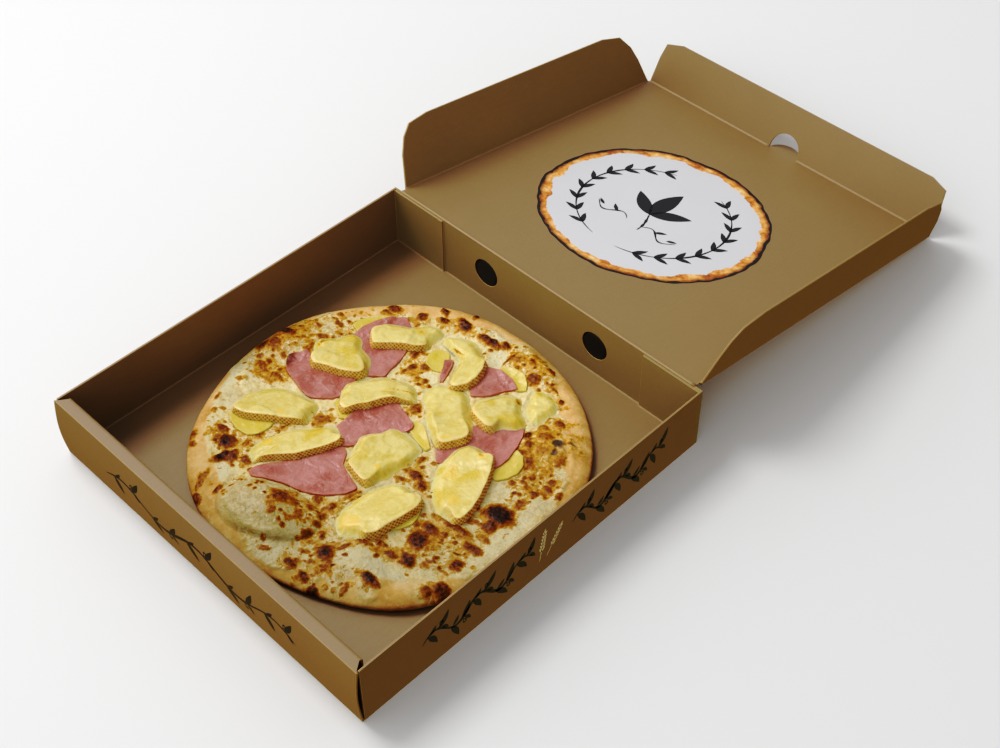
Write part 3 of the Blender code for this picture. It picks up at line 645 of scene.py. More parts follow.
# Ash-grey scorched places, in the same columns
SCORCHES = (
    (100, 85, 6, 5, 0, 0.9), (104, 77, 3, 4, 0, 0.7), (108, 92, 6, 2, 20, 0.6), (96, 97, 5, 2, -10, 0.5),
    (112, 80, 5, 1.5, 40, 0.5), (-134, 19, 6, 4, 20, 0.55), (-139, -1, 4, 6, 10, 0.5),
    (117, 5, 5, 4, 0, 0.35), (119, 77, 2, 1, 0, 0.6), (107, 70, 1.5, 1.5, 0, 0.5),
    (126, 70, 2, 1, 30, 0.5), (116, 92, 3, 1.2, 30, 0.5),
)
# Regions where the cheese has taken colour in a mottled way, in the same columns
TOASTED = (
    (-128, 20, 24, 34, 0, 0.62), (-118, -12, 22, 16, -20, 0.55), (32, 132, 24, 20, -15, 0.6),
    (98, 88, 26, 24, 40, 0.7), (104, 56, 30, 18, -30, 0.62), (104, -34, 30, 24, 0, 0.52),
    (50, -106, 34, 22, 0, 0.42), (12, -92, 26, 18, -10, 0.5), (-82, -82, 26, 16, 0, 0.42),
    (-36, 68, 16, 14, 30, 0.48), (-45, 122, 34, 10, 12, 0.4), (-94, 96, 14, 10, 30, 0.55),
    (-108, 60, 16, 20, 0, 0.36), (118, 24, 12, 24, 0, 0.4), (44, -10, 16, 10, 0, 0.4),
    (-62, -70, 10, 22, 10, 0.3), (30, -60, 10, 16, 0, 0.36), (84, -66, 24, 8, 15, 0.5),
    (8, -95, 19, 14, 25, 0.58), (-104, 44, 12, 12, 0, 0.45), (-48, -22, 12, 10, 30, 0.45),
    (64, -124, 24, 9, 0, 0.4),
)
# Pools of cream that stayed white, in the same columns
CREAMY = (
    (88, -84, 26, 9, -5, 0.9), (-14, 134, 16, 7, 0, 1.0), (4, 116, 9, 12, 30, 0.9),
    (131, 0, 8, 50, 0, 0.8), (-20, 66, 8, 7, 0, 0.8), (-118, -62, 14, 14, 30, 0.5),
    (-58, -103, 10, 9, 0, 1.0), (60, -95, 18, 8, 20, 0.8), (-130, -42, 8, 18, 10, 0.7),
    (22, -126, 12, 12, 0, 0.7), (28, -108, 14, 10, 0, 0.5), (-96, -78, 18, 5, 0, 0.8),
    (98, 22, 12, 14, 0, 0.5), (128, 32, 12, 20, 0, 0.6), (-76, 52, 9, 4, 0, 0.5),
    (-88, -104, 12, 4, 0, 0.7), (110, -62, 16, 6, 0, 0.5), (104, -14, 8, 5, 0, 0.4),
    (10, 26, 12, 5, 0, 0.6), (54, -14, 5, 4, 0, 0.8),
)
# Thin toasted skin, grey-beige or olive, in the same columns
SKINS = (
    (-12, -108, 34, 23, 22, 0.95), (14, -104, 18, 18, 0, 0.55), (76, -108, 13, 9, -20, 0.7),
    (-112, 36, 14, 24, 0, 0.6), (-124, -22, 14, 10, -20, 0.55), (-112, -52, 14, 12, 0, 0.6),
    (112, -50, 15, 12, 0, 0.45), (128, 30, 10, 14, 0, 0.5), (-132, -22, 8, 16, 0, 0.5),
    (30, 128, 20, 10, -20, 0.4), (104, 96, 18, 10, -30, 0.7), (120, 66, 16, 14, -50, 0.55),
    (-118, 4, 14, 10, 0, 0.5), (-6, 60, 8, 10, 0, 0.35),
)
# Melted cheese that ran out over the crust, in the same columns
POURS = (
    (94, -99, 11, 9, -45, 1.0), (78, -114, 9, 8, 0, 1.0), (126, -72, 12, 9, 30, 1.0),
    (60, -120, 5, 7, 0, 1.0), (-126, 52, 6, 8, 0, 1.0), (-138, -30, 5, 9, 0, 1.0),
    (150, 2, 6, 12, 0, 1.0),
)
# Raised folds: height, width and a line of points, all in millimetres
FOLDS = (
    (1.3, 2.6, ((98, -92), (99, -86), (106, -82), (116, -81), (128, -78))),
    (1.1, 2.4, ((68, -100), (75, -97), (83, -99), (90, -104), (98, -107), (103, -103))),
    (1.6, 3.0, ((-52, -104), (-47, -116), (-36, -124), (-20, -127), (-4, -128), (8, -125), (17, -116))),
    (0.9, 2.0, ((-62, -110), (-60, -120), (-52, -127), (-42, -128))),
    (1.0, 2.2, ((16, 142), (13, 132), (12, 122), (16, 118), (30, 121), (44, 124))),
    (0.9, 2.4, ((-132, -8), (-124, -12), (-112, -14), (-100, -12))),
    (0.9, 2.4, ((-134, -18), (-126, -28), (-118, -38), (-106, -42))),
    (0.8, 2.0, ((-128, 44), (-116, 46), (-106, 44), (-100, 36))),
    (0.8, 2.2, ((100, -44), (104, -38), (112, -38), (118, -44), (118, -54), (110, -60))),
    (0.9, 2.2, ((92, 100), (104, 94), (118, 82), (128, 66), (132, 50))),
)
BUBBLE = (-6, -106, 40, 25, 25)  # the big blown-up fold of dough at the front
BUBBLE_HEIGHT = 8.0
MELTED_STRIP = (14, 33, 19, 6, -40)  # cheese that ran off a slice's side


class Outline:
    """A slice's outline, as a reach from its middle for every angle around it."""

    def __init__(self, node, rind, corners):
        low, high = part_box(node)
        at = (low + high) / (2 * MM)
        corners = np.array(corners, float) + (at.x, at.y)
        closed = np.vstack((corners, corners[:1]))
        ways = np.linspace(0, len(corners), 1200, endpoint=False)
        line = np.column_stack([np.interp(ways, np.arange(len(closed)), closed[:, k]) for k in (0, 1)])
        self.middle = self._seeing_all(line)
        sizes, axes = np.linalg.eigh(np.cov((line - self.middle).T))
        self.long = axes[:, 1]
        self.narrow = math.sqrt(sizes[0] / sizes[1])
        angles, reach = self._polar(line)
        order = np.argsort(angles)
        self.angles = np.radians(np.arange(-180, 181))
        table = np.interp(self.angles, angles[order], reach[order], period=TAU)[:-1]
        taps = np.exp(-0.5 * (np.arange(-9, 10) / 2.6) ** 2)
        table = np.convolve(np.concatenate((table[-9:], table, table[:9])), taps / taps.sum(), "valid")
        self.table = np.append(table, table[0])
        self.rinds = np.unwrap(self._polar(corners[:rind])[0]) if rind else None
        x, y = self.points(self.angles, 1.0)
        self.lengths = np.concatenate(([0.0], np.cumsum(np.hypot(np.diff(x), np.diff(y)))))

    @staticmethod
    def _seeing_all(line):
        """The point near a closed line's middle from which the whole line can be seen."""
        spans = [np.linspace(line[:, k].min(), line[:, k].max(), 13)[1:-1] for k in (0, 1)]
        places = [line.mean(0)] + [np.array((x, y)) for x in spans[0] for y in spans[1]]

        def hidden(place):
            steps = np.diff(np.unwrap(np.arctan2(*(line - place).T[::-1])))
            far = np.hypot(*(place - line.mean(0)))
            return -steps[steps < 0].sum() + 100 * (steps.sum() < 6) + 0.01 * far

        return min(places, key=hidden)

    def _polar(self, points):
        """Angle and reach of points in the frame where the slice is as wide as long."""
        off = points - self.middle
        along, across = off @ self.long, off @ (-self.long[1], self.long[0])
        return np.arctan2(across / self.narrow, along), np.hypot(along, across / self.narrow)

    def reach(self, angle):
        """How far the outline reaches at an angle."""
        return np.interp((angle + math.pi) % TAU - math.pi, self.angles, self.table)

    def points(self, angle, share, out=0.0):
        """Points at a share of the way out, moved further out by millimetres."""
        reach = self.reach(angle) * share
        along, across = reach * np.cos(angle), reach * np.sin(angle) * self.narrow
        far = np.maximum(np.hypot(along, across), 0.01)
        along, across = along * (1 + out / far), across * (1 + out / far)
        x = self.middle[0] + along * self.long[0] - across * self.long[1]
        y = self.middle[1] + along * self.long[1] + across * self.long[0]
        return x, y

    def from_edge(self, angle, share):
        """Distance in millimetres from a point to the outline along its own ray."""
        reach = self.reach(angle)
        return (1 - share) * reach * np.hypot(np.cos(angle), np.sin(angle) * self.narrow)

    def nearest(self, angle, share, bearings):
        """Distance in millimetres from points to the nearest place on part of the outline."""
        x, y = self.points(angle, share)
        gap = np.full_like(x, 1e3)
        for edge_x, edge_y in zip(*self.points(bearings, 1.0)):
            gap = np.minimum(gap, np.hypot(x - edge_x, y - edge_y))
        return gap

    def thinning(self, angle, share):
        """Share of the full thickness at points: less, the further from the rind."""
        if self.rinds is None:
            return np.full_like(angle, 0.55)
        ends = np.array((self.rinds[0], self.rinds[-1]))
        far = self.nearest(angle, share, np.linspace(*(0.75 * ends + 0.25 * ends[::-1]), 40))
        return 1 - 0.5 * smoothstep(0.12, 1.0, far / far.max())

    def rind(self, angle):
        """How far the outline is rind at an angle, from 0 to 1."""
        if self.rinds is None:
            return np.zeros_like(angle)
        middle = (self.rinds[0] + self.rinds[-1]) / 2
        half = abs(self.rinds[-1] - self.rinds[0]) / 2
        off = abs((angle - middle + math.pi) % TAU - math.pi)
        return smoothstep(half + 0.30, half - 0.22, off)

    def around(self, angle):
        """Millimetres along the outline at an angle."""
        return np.interp((angle + math.pi) % TAU - math.pi, self.angles, self.lengths)


def wobble(angle, depth, seed, waves=(2, 3, 5, 8, 13)):
    """A closed outline's unevenness: sines with random phases, about depth in all."""
    phases = np.random.default_rng(seed).uniform(0, TAU, len(waves))
    return depth * sum(np.sin(n * angle + p) / n**0.5 for n, p in zip(waves, phases)) / 2


def footprint(outline):
    """The grid cells that a slice covers."""
    angle, share = np.meshgrid(np.linspace(0, TAU, 420), np.linspace(0, 1, 110))
    x, y = outline.points(angle.ravel(), share.ravel())
    ground = np.full_like(GRID_X, -1.0)
    return raise_grid(ground, x, y, np.zeros(x.size))[1]


RIM_START = 0.985  # share of the radius where the base's side begins
WIDEST = 0.005  # how far above its foot the base is widest, in metres
OUTSIDE = 0.25  # a distance that is clear of the base, in metres


class Layers:
    """What the pizza's pieces share: the outline, and the height of all that has been laid."""

    def __init__(self):
        base = NODES["pizza_base"].data
        points = [v.co.copy() for v in base.vertices]
        self.tree = BVHTree.FromPolygons(points, [p.vertices[:] for p in base.polygons])
        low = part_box("pizza_base")[0]
        self.foot = low.z / MM
        spread = np.array(points) / MM
        self.middle = spread[:, :2].mean(0)
        self.bearings = np.linspace(-math.pi, math.pi, 181)
        core = Vector((*(self.middle * MM), low.z + WIDEST))
        reach = []
        for bearing in self.bearings:
            way = Vector((math.cos(bearing), math.sin(bearing), 0))
            hit = self.tree.ray_cast(core + way * OUTSIDE, -way)[0]
            reach.append((hit - core).length / MM)
        self.reach = np.array(reach)
        self.shares = np.linspace(0, RIM_START, 56)
        table = np.array([[self._drop(b, s) for s in self.shares] for b in self.bearings])
        for _ in range(2):
            table[:, 1:-1] = (table[:, :-2] + 2 * table[:, 1:-1] + table[:, 2:]) / 4
        self.table = table
        self.height = None

    def _drop(self, bearing, share):
        radius = np.interp(bearing, self.bearings, self.reach) * share
        x = self.middle[0] + radius * math.cos(bearing)
        y = self.middle[1] + radius * math.sin(bearing)
        hit = self.tree.ray_cast(Vector((x * MM, y * MM, OUTSIDE)), Vector((0, 0, -1)))[0]
        return hit.z / MM

    def outline(self, bearing):
        """Radius of the pizza in a direction."""
        bearing = (bearing + math.pi) % TAU - math.pi
        return np.interp(bearing, self.bearings, self.reach)

    def solid_top(self, x, y):
        """Height of the frame's own base at points, carried on level past its rim."""
        dx, dy = x - self.middle[0], y - self.middle[1]
        bearing = np.arctan2(dy, dx)
        share = np.hypot(dx, dy) / self.outline(bearing)
        u = (bearing + math.pi) / TAU * 180
        v = np.clip(share / RIM_START, 0, 0.9999) * (len(self.shares) - 1)
        i, j = np.clip(u.astype(int), 0, 179), v.astype(int)
        f, g = u - i, v - j
        low = self.table[i, j] * (1 - g) + self.table[i, j + 1] * g
        high = self.table[i + 1, j] * (1 - g) + self.table[i + 1, j + 1] * g
        return low * (1 - f) + high * f, share


LAYERS = Layers()


def spots(table, x, y, wander=1.5, ragged=0.20):
    """The deepest of a table's soft-edged spots at each point, from 0 to 1."""
    warped_x = x + wander * layered(x, y, 7.0, 41)
    warped_y = y + wander * layered(x, y, 7.0, 42)
    rough = ragged * layered(x, y, 4.2, 43)
    depth = np.zeros_like(x)
    for *place, amount in table:
        far = spot_distance(warped_x, warped_y, *place) + rough
        depth = np.maximum(depth, amount * smoothstep(1.35, 0.45, far))
    return depth


CRUMBS = 700  # how many small browned places are strewn over the base
STREWN_HALF, STREWN_RADIUS = 150, 142  # of the square they fall in and of the disc that keeps them


def scattered(count, seed):
    """Small browned places strewn where the cheese took colour: a table like the blisters'."""
    rng = np.random.default_rng(seed)
    x, y = rng.uniform(-STREWN_HALF, STREWN_HALF, (2, 12 * count))
    toasted = regions(TOASTED, x, y)
    near = spots([(*s[:2], s[2] + 9, s[3] + 9, s[4], 1.0) for s in BLISTERS], x, y)
    chance = 0.05 + 0.9 * toasted + 0.30 * near - 0.5 * regions(CREAMY, x, y)
    chance *= np.hypot(x, y) < STREWN_RADIUS
    kept = rng.uniform(0, 1, x.size) < chance
    size = rng.uniform(0.6, 1.0, x.size) ** 2 * 3.0
    stretch, turn, depth = rng.uniform((0.55, 0, 0.25), (1.0, 180, 0.80), (x.size, 3)).T
    return np.column_stack((x, y, size, size * stretch, turn, depth))[kept][:count]


def ridge_lines(table, x, y):
    """Height of soft ridges along a table's lines."""
    warped_x = x + 1.5 * layered(x, y, 9.0, 45)
    warped_y = y + 1.5 * layered(x, y, 9.0, 46)
    total = np.zeros_like(x)
    for height, width, line in table:
        far = np.full_like(x, 1e3)
        for (ax, ay), (bx, by) in zip(line, line[1:]):
            run_x, run_y = bx - ax, by - ay
            off_x, off_y = warped_x - ax, warped_y - ay
            t = np.clip((off_x * run_x + off_y * run_y) / (run_x**2 + run_y**2), 0, 1)
            far = np.minimum(far, np.hypot(off_x - t * run_x, off_y - t * run_y))
        total = np.maximum(total, height * np.exp(-((far / width) ** 2)))
    return total


def regions(table, x, y):
    """A table's wide soft regions, added up to 1 at most."""
    warped_x = x + 5 * layered(x, y, 18.0, 51)
    warped_y = y + 5 * layered(x, y, 18.0, 52)
    total = np.zeros_like(x)
    for *place, amount in table:
        far = spot_distance(warped_x, warped_y, *place)
        total = np.maximum(total, amount * smoothstep(1.25, 0.55, far))
    return total


def base_fields():
    """Grids over the base: height in millimetres, and where it is brown, bare, white or scorched."""
    x, y = GRID_X, GRID_Y
    solid, share = LAYERS.solid_top(x, y)
    bearing = np.arctan2(y - LAYERS.middle[1], x - LAYERS.middle[0])
    radius = share * LAYERS.outline(bearing)
    degrees = np.degrees(bearing) % 360
    widths = np.interp(degrees, *zip(*CRUST_WIDTHS))
    ragged = 3.2 * layered(x, y, 11.0, 3) + 1.2 * noise(x, y, 3.5, 4)
    past = radius - (LAYERS.outline(bearing) - widths) + ragged
    crust = smoothstep(-0.7, 0.9, past) * (1 - spots(POURS, x, y, 2.0, 0.25))
    bubble = smoothstep(1.08, 0.80, spot_distance(x, y, *BUBBLE))

    blister = spots(BLISTERS, x, y)
    crumbs = spots(scattered(CRUMBS, 71), x, y, 0.8, 0.25)
    toasted = regions(TOASTED, x, y)
    mottle = layered(x, y, 7.5, 5, 4)
    patches = smoothstep(0.55, 1.25, toasted + 1.0 * mottle + 0.12)
    freckles = 0.6 * noise(x, y, 3.6, 6) + 0.45 * noise(x, y, 1.9, 7)
    specks = smoothstep(0.50, 0.85, freckles + 0.5 * toasted)
    brown = np.maximum.reduce([blister, crumbs, 0.50 * patches, 0.30 * specks * (1 - 0.7 * crust)])
    wide = [(*s[:2], s[2] + 3.5, s[3] + 3.5, s[4], min(1.0, 1.1 * s[5])) for s in BLISTERS]
    golden = np.maximum(0.75 * spots(wide, x, y, 2.5, 0.35), 0.80 * toasted) + 0.15 * mottle
    bare = crust * (1 - smoothstep(0.30, 0.45, blister))
    brown = brown * (1 - 0.5 * crust * (1 - smoothstep(0.1, 0.4, blister)))
    white = np.clip(regions(CREAMY, x, y) + 0.20 * smoothstep(0.1, 0.6, layered(x, y, 13.0, 8)), 0, 1)
    white = white * (1 - crust)
    golden = np.clip(golden - 0.6 * white, 0, 1) * (1 - crust)
    tan = regions(SKINS, x, y) * (1 - 0.5 * crust)
    char = spots(SCORCHES, x, y, 2.2, 0.4)
    # painted shade: rises towards the front-right of the pizza, where the base is darkened
    painted_front_shade = smoothstep(-90, 190, x - y)

    covered = np.zeros(x.shape, bool)
    for outline in TOPPINGS.values():
        covered |= footprint(outline)
    skirt = blur(covered.astype(float), 1.7)
    strip = smoothstep(1.1, 0.5, spot_distance(x, y, *MELTED_STRIP) + 0.15 * mottle)
    pocks = smoothstep(0.35, 0.75, noise(x, y, 2.2, 9))
    cheese = 1 - crust
    height = solid - 0.55
    lumps = 0.75 * layered(x, y, 13.0, 10) + 0.70 * layered(x, y, 5.0, 11)
    height += cheese * (0.75 + (1 - 0.8 * bubble) * lumps)
    height += cheese * (0.12 * noise(x, y, 1.9, 12) - 0.22 * pocks)
    height += crust * (0.55 * layered(x, y, 16.0, 13) + 0.14 * noise(x, y, 2.6, 14))
    height += crust * 0.07 * noise(x, y, 1.3, 15)
    height += 1.4 * smoothstep(0.20, 0.85, blister) + 0.45 * patches
    height += 0.5 * smoothstep(0.1, 0.6, crumbs) + ridge_lines(FOLDS, x, y)
    wrinkles = noise(x * 0.5 + y * 0.2, y * 1.4 - x * 0.5, 2.4, 18) + 0.5 * layered(x, y, 2.4, 16)
    dome = np.sqrt(np.clip(1 - spot_distance(x, y, *BUBBLE) ** 2, 0, 1))
    height += bubble * 0.30 * wrinkles + BUBBLE_HEIGHT * dome
    height += 1.5 * skirt * (1 - covered) * cheese + 2.2 * strip
    height -= 0.5 * char
    LAYERS.height = height
    return {
        "brown": brown, "crust": bare * (1 - bubble), "white": np.clip(white + 0.3 * strip, 0, 1),
        "char": char, "golden": golden, "tan": tan, "painted_front_shade": painted_front_shade,
    }


TOPPINGS = {
    pattern % (n + 1): Outline(pattern % (n + 1), *spec)
    for pattern, specs in (
        ("potato_slice_%d", POTATO_SLICES), ("ham_slice_%d", HAM_SLICES),
        ("cheese_slice_%02d", CHEESE_SLICES),
    )
    for n, spec in enumerate(specs)
}

# The base's side, from where its top ends down to its foot: share of radius, share of height
BASE_SIDE = (
    (0.985, 1.0), (0.996, 0.84), (1.0, 0.62), (0.998, 0.36), (0.985, 0.12), (0.955, 0.02), (0.90, 0.0),
)
BASE_CELLS = 300
TOP_PART = 0.93  # share of the mesh's rings that make the top


def make_base(material):
    """The pizza's base as one fine relief with a closed foot."""
    fields = base_fields()
    angle, ring, _, faces = disc_layout(BASE_CELLS)
    top = ring <= TOP_PART
    down = np.clip((ring - TOP_PART) / (1 - TOP_PART), 0, 1)
    knots = np.linspace(0, 1, len(BASE_SIDE))
    side_share, side_height = (np.interp(down, knots, v) for v in zip(*BASE_SIDE))
    share = np.where(top, ring / TOP_PART * RIM_START, side_share)
    radius = share * (LAYERS.outline(angle) + wobble(angle, 0.5, 61, (9, 14, 23, 31)))
    x = LAYERS.middle[0] + radius * np.cos(angle)
    y = LAYERS.middle[1] + radius * np.sin(angle)
    rim = np.minimum(share, RIM_START) * LAYERS.outline(angle)
    rim_x = LAYERS.middle[0] + rim * np.cos(angle)
    rim_y = LAYERS.middle[1] + rim * np.sin(angle)
    z = sample(LAYERS.height, rim_x, rim_y)
    z = np.where(top, z, LAYERS.foot + (z - LAYERS.foot) * side_height)
    values = {key: sample(fields[key], rim_x, rim_y) for key in fields}
    shade = 0.28 + 0.35 * layered(x, y, 22.0, 62) + 0.75 * down + 0.12 * smoothstep(0.96, 0.985, share)
    values["shade"] = np.clip(shade, 0, 1.4)
    values["crust"] = np.maximum(values["crust"], smoothstep(0.25, 0.6, down))
    points = np.column_stack((x, y, z)) * MM
    base = mesh_object("pizza_bake", points, faces, [material], **values)
    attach(base, "tray")
    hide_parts("pizza_base")


# ---------------------------------------------------------------- toppings

# All in millimetres
POTATO_THICKNESS = 1.5
HAM_THICKNESS = 1.4
CHEESE_THICKNESS = 7.0
SUNK = 0.7  # how far a topping's foot lies under the surface it rests on
MELT = 9.0  # width of a melted edge
RIDGE_GAP = 3.0  # from one ridge of the rind to the next

UNDER_RINGS = (0.8, 0.5, 0.2)  # shares of a slice's foot where its underside has rings of points
TOP_END = 0.70  # share of a slice's rings that make its top; the rest make its side
# Sides from top to foot: (place, share of thickness, millimetres further out)
RIND_SIDE = (
    (0.0, 0.98, 0.0), (0.08, 0.93, 0.35), (0.30, 0.68, 1.0), (0.60, 0.36, 1.7), (0.85, 0.10, 2.1),
    (1.0, 0.0, 1.9),
)
SLAB_SIDE = ((0.0, 0.96, 0.0), (0.25, 0.78, 0.30), (0.60, 0.30, 0.42), (1.0, 0.0, 0.20))


def draped(softness):
    """The surface laid so far, softened so that a slice bridges the steps in it."""
    soft = blur(LAYERS.height, softness)
    return blur(np.maximum(soft, LAYERS.height - 0.15), 0.8)


def lay_slice(outline, support, thickness, cells, seed, side, lumps, toast=(), curl=0.0, ridges=0.0):
    """One topping over the surface below it; returns its points in millimetres, faces and values."""
    angle, ring, below, faces = disc_layout(cells, UNDER_RINGS)
    under = below > 0
    weight = outline.rind(angle) if side is RIND_SIDE else np.ones_like(angle)
    down = np.clip((ring - TOP_END) / (1 - TOP_END), 0, 1)
    places, heights, outs = zip(*side)
    crisp_share = np.minimum(ring / TOP_END, 1)
    melt_gap = outline.nearest(angle, ring, np.linspace(0, TAU, 240, endpoint=False))
    if side is RIND_SIDE:
        thickness = thickness * outline.thinning(angle, ring)
    rounding = 1 - 0.03 * smoothstep(2.0, 0.0, outline.from_edge(angle, crisp_share))
    crisp_rise = np.where(down > 0, np.interp(down, places, heights), rounding)
    melt_width = min(MELT, 0.85 * melt_gap.max()) * (1 + 0.25 * wobble(angle, 1.0, seed + 50, (2, 3, 5)))
    melting = np.clip(melt_gap / melt_width, 0, 1)
    shoulder = np.sin(TAU / 4 * np.clip((melting - 0.10) / 0.90, 0, 1)) ** 1.4
    melt_rise = 0.14 * smoothstep(0.0, 0.14, melting) + 0.86 * shoulder
    share = np.where(under, ring * 0.96, weight * crisp_share + (1 - weight) * ring)
    rise = weight * crisp_rise + (1 - weight) * melt_rise
    along = outline.around(angle)
    depth = (1 - rise) * thickness
    out = weight * np.interp(down, places, outs)
    out += weight * ridges * smoothstep(0.05, 0.25, down) * 0.5 * (
        np.sin(TAU * (along + depth) / RIDGE_GAP) + np.sin(TAU * (along - depth) / RIDGE_GAP)
    )
    out += wobble(angle, 0.45, seed, (9, 14, 23, 31)) * share
    x, y = outline.points(angle, share, np.where(under, -0.6, out))
    ground = sample(support, x, y)
    z = ground - SUNK + rise * (thickness + SUNK)
    swell = lumps * (layered(x, y, 11.0, seed + 200) + 0.22 * noise(x, y, 2.6, seed + 300))
    z += smoothstep(0.05, 0.6, rise) * swell * (1 - 0.6 * weight * smoothstep(0.0, 0.2, down))
    z += curl * smoothstep(0.62, 1.0, share) * np.clip(wobble(angle, 1.0, seed + 7, (2, 3, 4)), 0, 1)
    z = np.where(under, ground - SUNK, z)
    tan_edge = smoothstep(1.7, 0.3, outline.from_edge(angle, crisp_share))
    values = {
        "toast": spots([spot[1:] for spot in toast if spot[0] == seed % 100], x, y, 1.0, 0.35),
        "rim": smoothstep(4.0, 0.3, outline.from_edge(angle, share)),
        "rind": weight * smoothstep(0.02, 0.14, down),
        "edge": weight * tan_edge * smoothstep(0.30, 0.10, down),
        "rind_at": np.column_stack((along, depth, np.zeros_like(along))),
    }
    return np.column_stack((x, y, z)), faces, values, ~under


def lay_kind(kind, pattern, count, material, softness, seed, **options):
    """Lays all slices of one kind, then raises the surface that the next kind lies on."""
    support = draped(softness)
    laid = []
    for n in range(count):
        node = pattern % (n + 1)
        points, faces, values, top = lay_slice(TOPPINGS[node], support, seed=seed + n, **options)
        piece = mesh_object("%s_%02d" % (kind, n + 1), points * MM, faces, [material], **values)
        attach(piece, "tray")
        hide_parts(node)
        laid.append(points[top])
    for x, y, z in (points.T for points in laid):
        LAYERS.height = raise_grid(LAYERS.height, x, y, z)[0]


# ---------------------------------------------------------------- board

BOARD_NODES = ("tray", "front_wall", "lid", "flap_left", "flap_right", "flap_front")
EDGE_WIDTH = 0.0004
EDGE_ANGLE = math.radians(50)  # corners sharper than this are eased
WELD_GAP = 0.00001
BOARD = 0.0015  # thickness of the board
SKIN = 0.00004  # how far print and folds stand off the board

FAR_WALL = 0.0038  # how far before the hinge's axis the back wall's board starts
LEFT_FLAP_PAINTED_LIGHT = (1.18, 1.24, 1.06)  # painted light: the left flap's board made paler and yellower where it stands in shade

LID_JOINT = next(j for j in frame["joints"] if j["name"] == "lid_hinge")
SIDE_JOINT = next(j for j in frame["joints"] if j["name"] == "flap_left_crease")
HINGE = Vector(LID_JOINT["pos_m"])
LID_AWAY = Vector(SIDE_JOINT["axis"]).normalized()  # along the lid, away from its hinge
LID_UP = Vector((1, 0, 0)).cross(LID_AWAY)  # out of its inner face
LID_FACE = -0.0001  # the inner face, from the hinge's axis along LID_UP


def on_lid(x, away, up=0.0):
    """A point from the lid's own measures, in metres."""
    return Vector((x, HINGE.y, HINGE.z)) + LID_AWAY * away + LID_UP * (LID_FACE + up)


def dress(name, face):
    """Gives a kept panel another board."""
    NODES[name].data.materials[0] = face


def dress_board(name, face, edge):
    """Gives a kept panel its board, with eased edges of paler paper."""
    panel = NODES[name]
    panel.data.materials.clear()
    panel.data.materials.append(face)
    panel.data.materials.append(edge)
    weld = panel.modifiers.new("weld", "WELD")
    weld.merge_threshold = WELD_GAP
    bevel = panel.modifiers.new("eased_edges", "BEVEL")
    bevel.width = EDGE_WIDTH
    bevel.segments = 2
    bevel.limit_method = "ANGLE"
    bevel.angle_limit = EDGE_ANGLE
    bevel.material = 1
    bevel.use_clamp_overlap = True
    even = panel.modifiers.new("flat_faces", "WEIGHTED_NORMAL")
    even.weight = 100


def extrude_section(sections):
    """Faces between sections, each a loop of points; the two ends are closed."""
    points = [point for loop in sections for point in loop]
    count = len(sections[0])
    faces = []
    for n in range(len(sections) - 1):
        for k in range(count):
            a, b = n * count + k, n * count + (k + 1) % count
            faces.append((a, b, b + count, a + count))
    faces.append(tuple(range(count))[::-1])
    faces.append(tuple(range((len(sections) - 1) * count, len(sections) * count)))
    return points, faces


def add_part(points, faces, more, quads):
    """Adds a part's points and faces to the whole's."""
    faces += [[k + len(points) for k in quad] for quad in quads]
    points += more


# Where the flaps' creases lie on the lid, and the runs of the creases, in metres
LEFT_CREASE, RIGHT_CREASE, FRONT_CREASE = -0.1578, 0.1580, 0.3215
SIDE_RUNS = ((0.0052, 0.3193),)
FRONT_RUNS = ((-0.1562, -0.0143), (0.0159, 0.1567))
BACK_RUNS = ((-0.1573, 0.1575),)
CREASE_STEP = 0.004
CREASE_ROUGHNESS = 0.00005


def crease_strip(runs, loop, seed):
    """Strips of folded board: each run is (start, end) along a crease, loop gives a section."""
    points, faces = [], []
    for start, end in runs:
        along = np.linspace(start, end, max(2, round((end - start) / CREASE_STEP)) + 1)
        rough = noise(along / MM, np.zeros_like(along), 6.0, seed) * CREASE_ROUGHNESS
        add_part(points, faces, *extrude_section([loop(a, r) for a, r in zip(along, rough)]))
    return points, faces


def flap_loop(origin, inward, up, lean):
    """A section across a flap's crease, as a function of the way along it.

    origin maps the way along to a point on the crease; inward points over the lid.
    """
    rise = up * math.cos(lean) - inward * math.sin(lean)
    out = -inward * math.cos(lean) - up * math.sin(lean)

    def loop(along, rough):
        at = origin(along)
        return [
            at + inward * 0.0010 + up * SKIN,
            at + inward * 0.0004 + up * (4 * SKIN + rough),
            at + rise * 0.0005 + inward * (0.00010 + rough),
            at + rise * 0.0011 - out * SKIN,
            at + rise * 0.0009 + out * (BOARD + SKIN),
            at + rise * 0.0001 + out * (BOARD + 1.5 * SKIN),
            at - up * (BOARD * 0.75) + out * BOARD * 0.80,
            at - up * (BOARD + 1.5 * SKIN) + out * BOARD * 0.25,
            at - up * (BOARD + SKIN) + inward * 0.0008,
        ]

    return loop


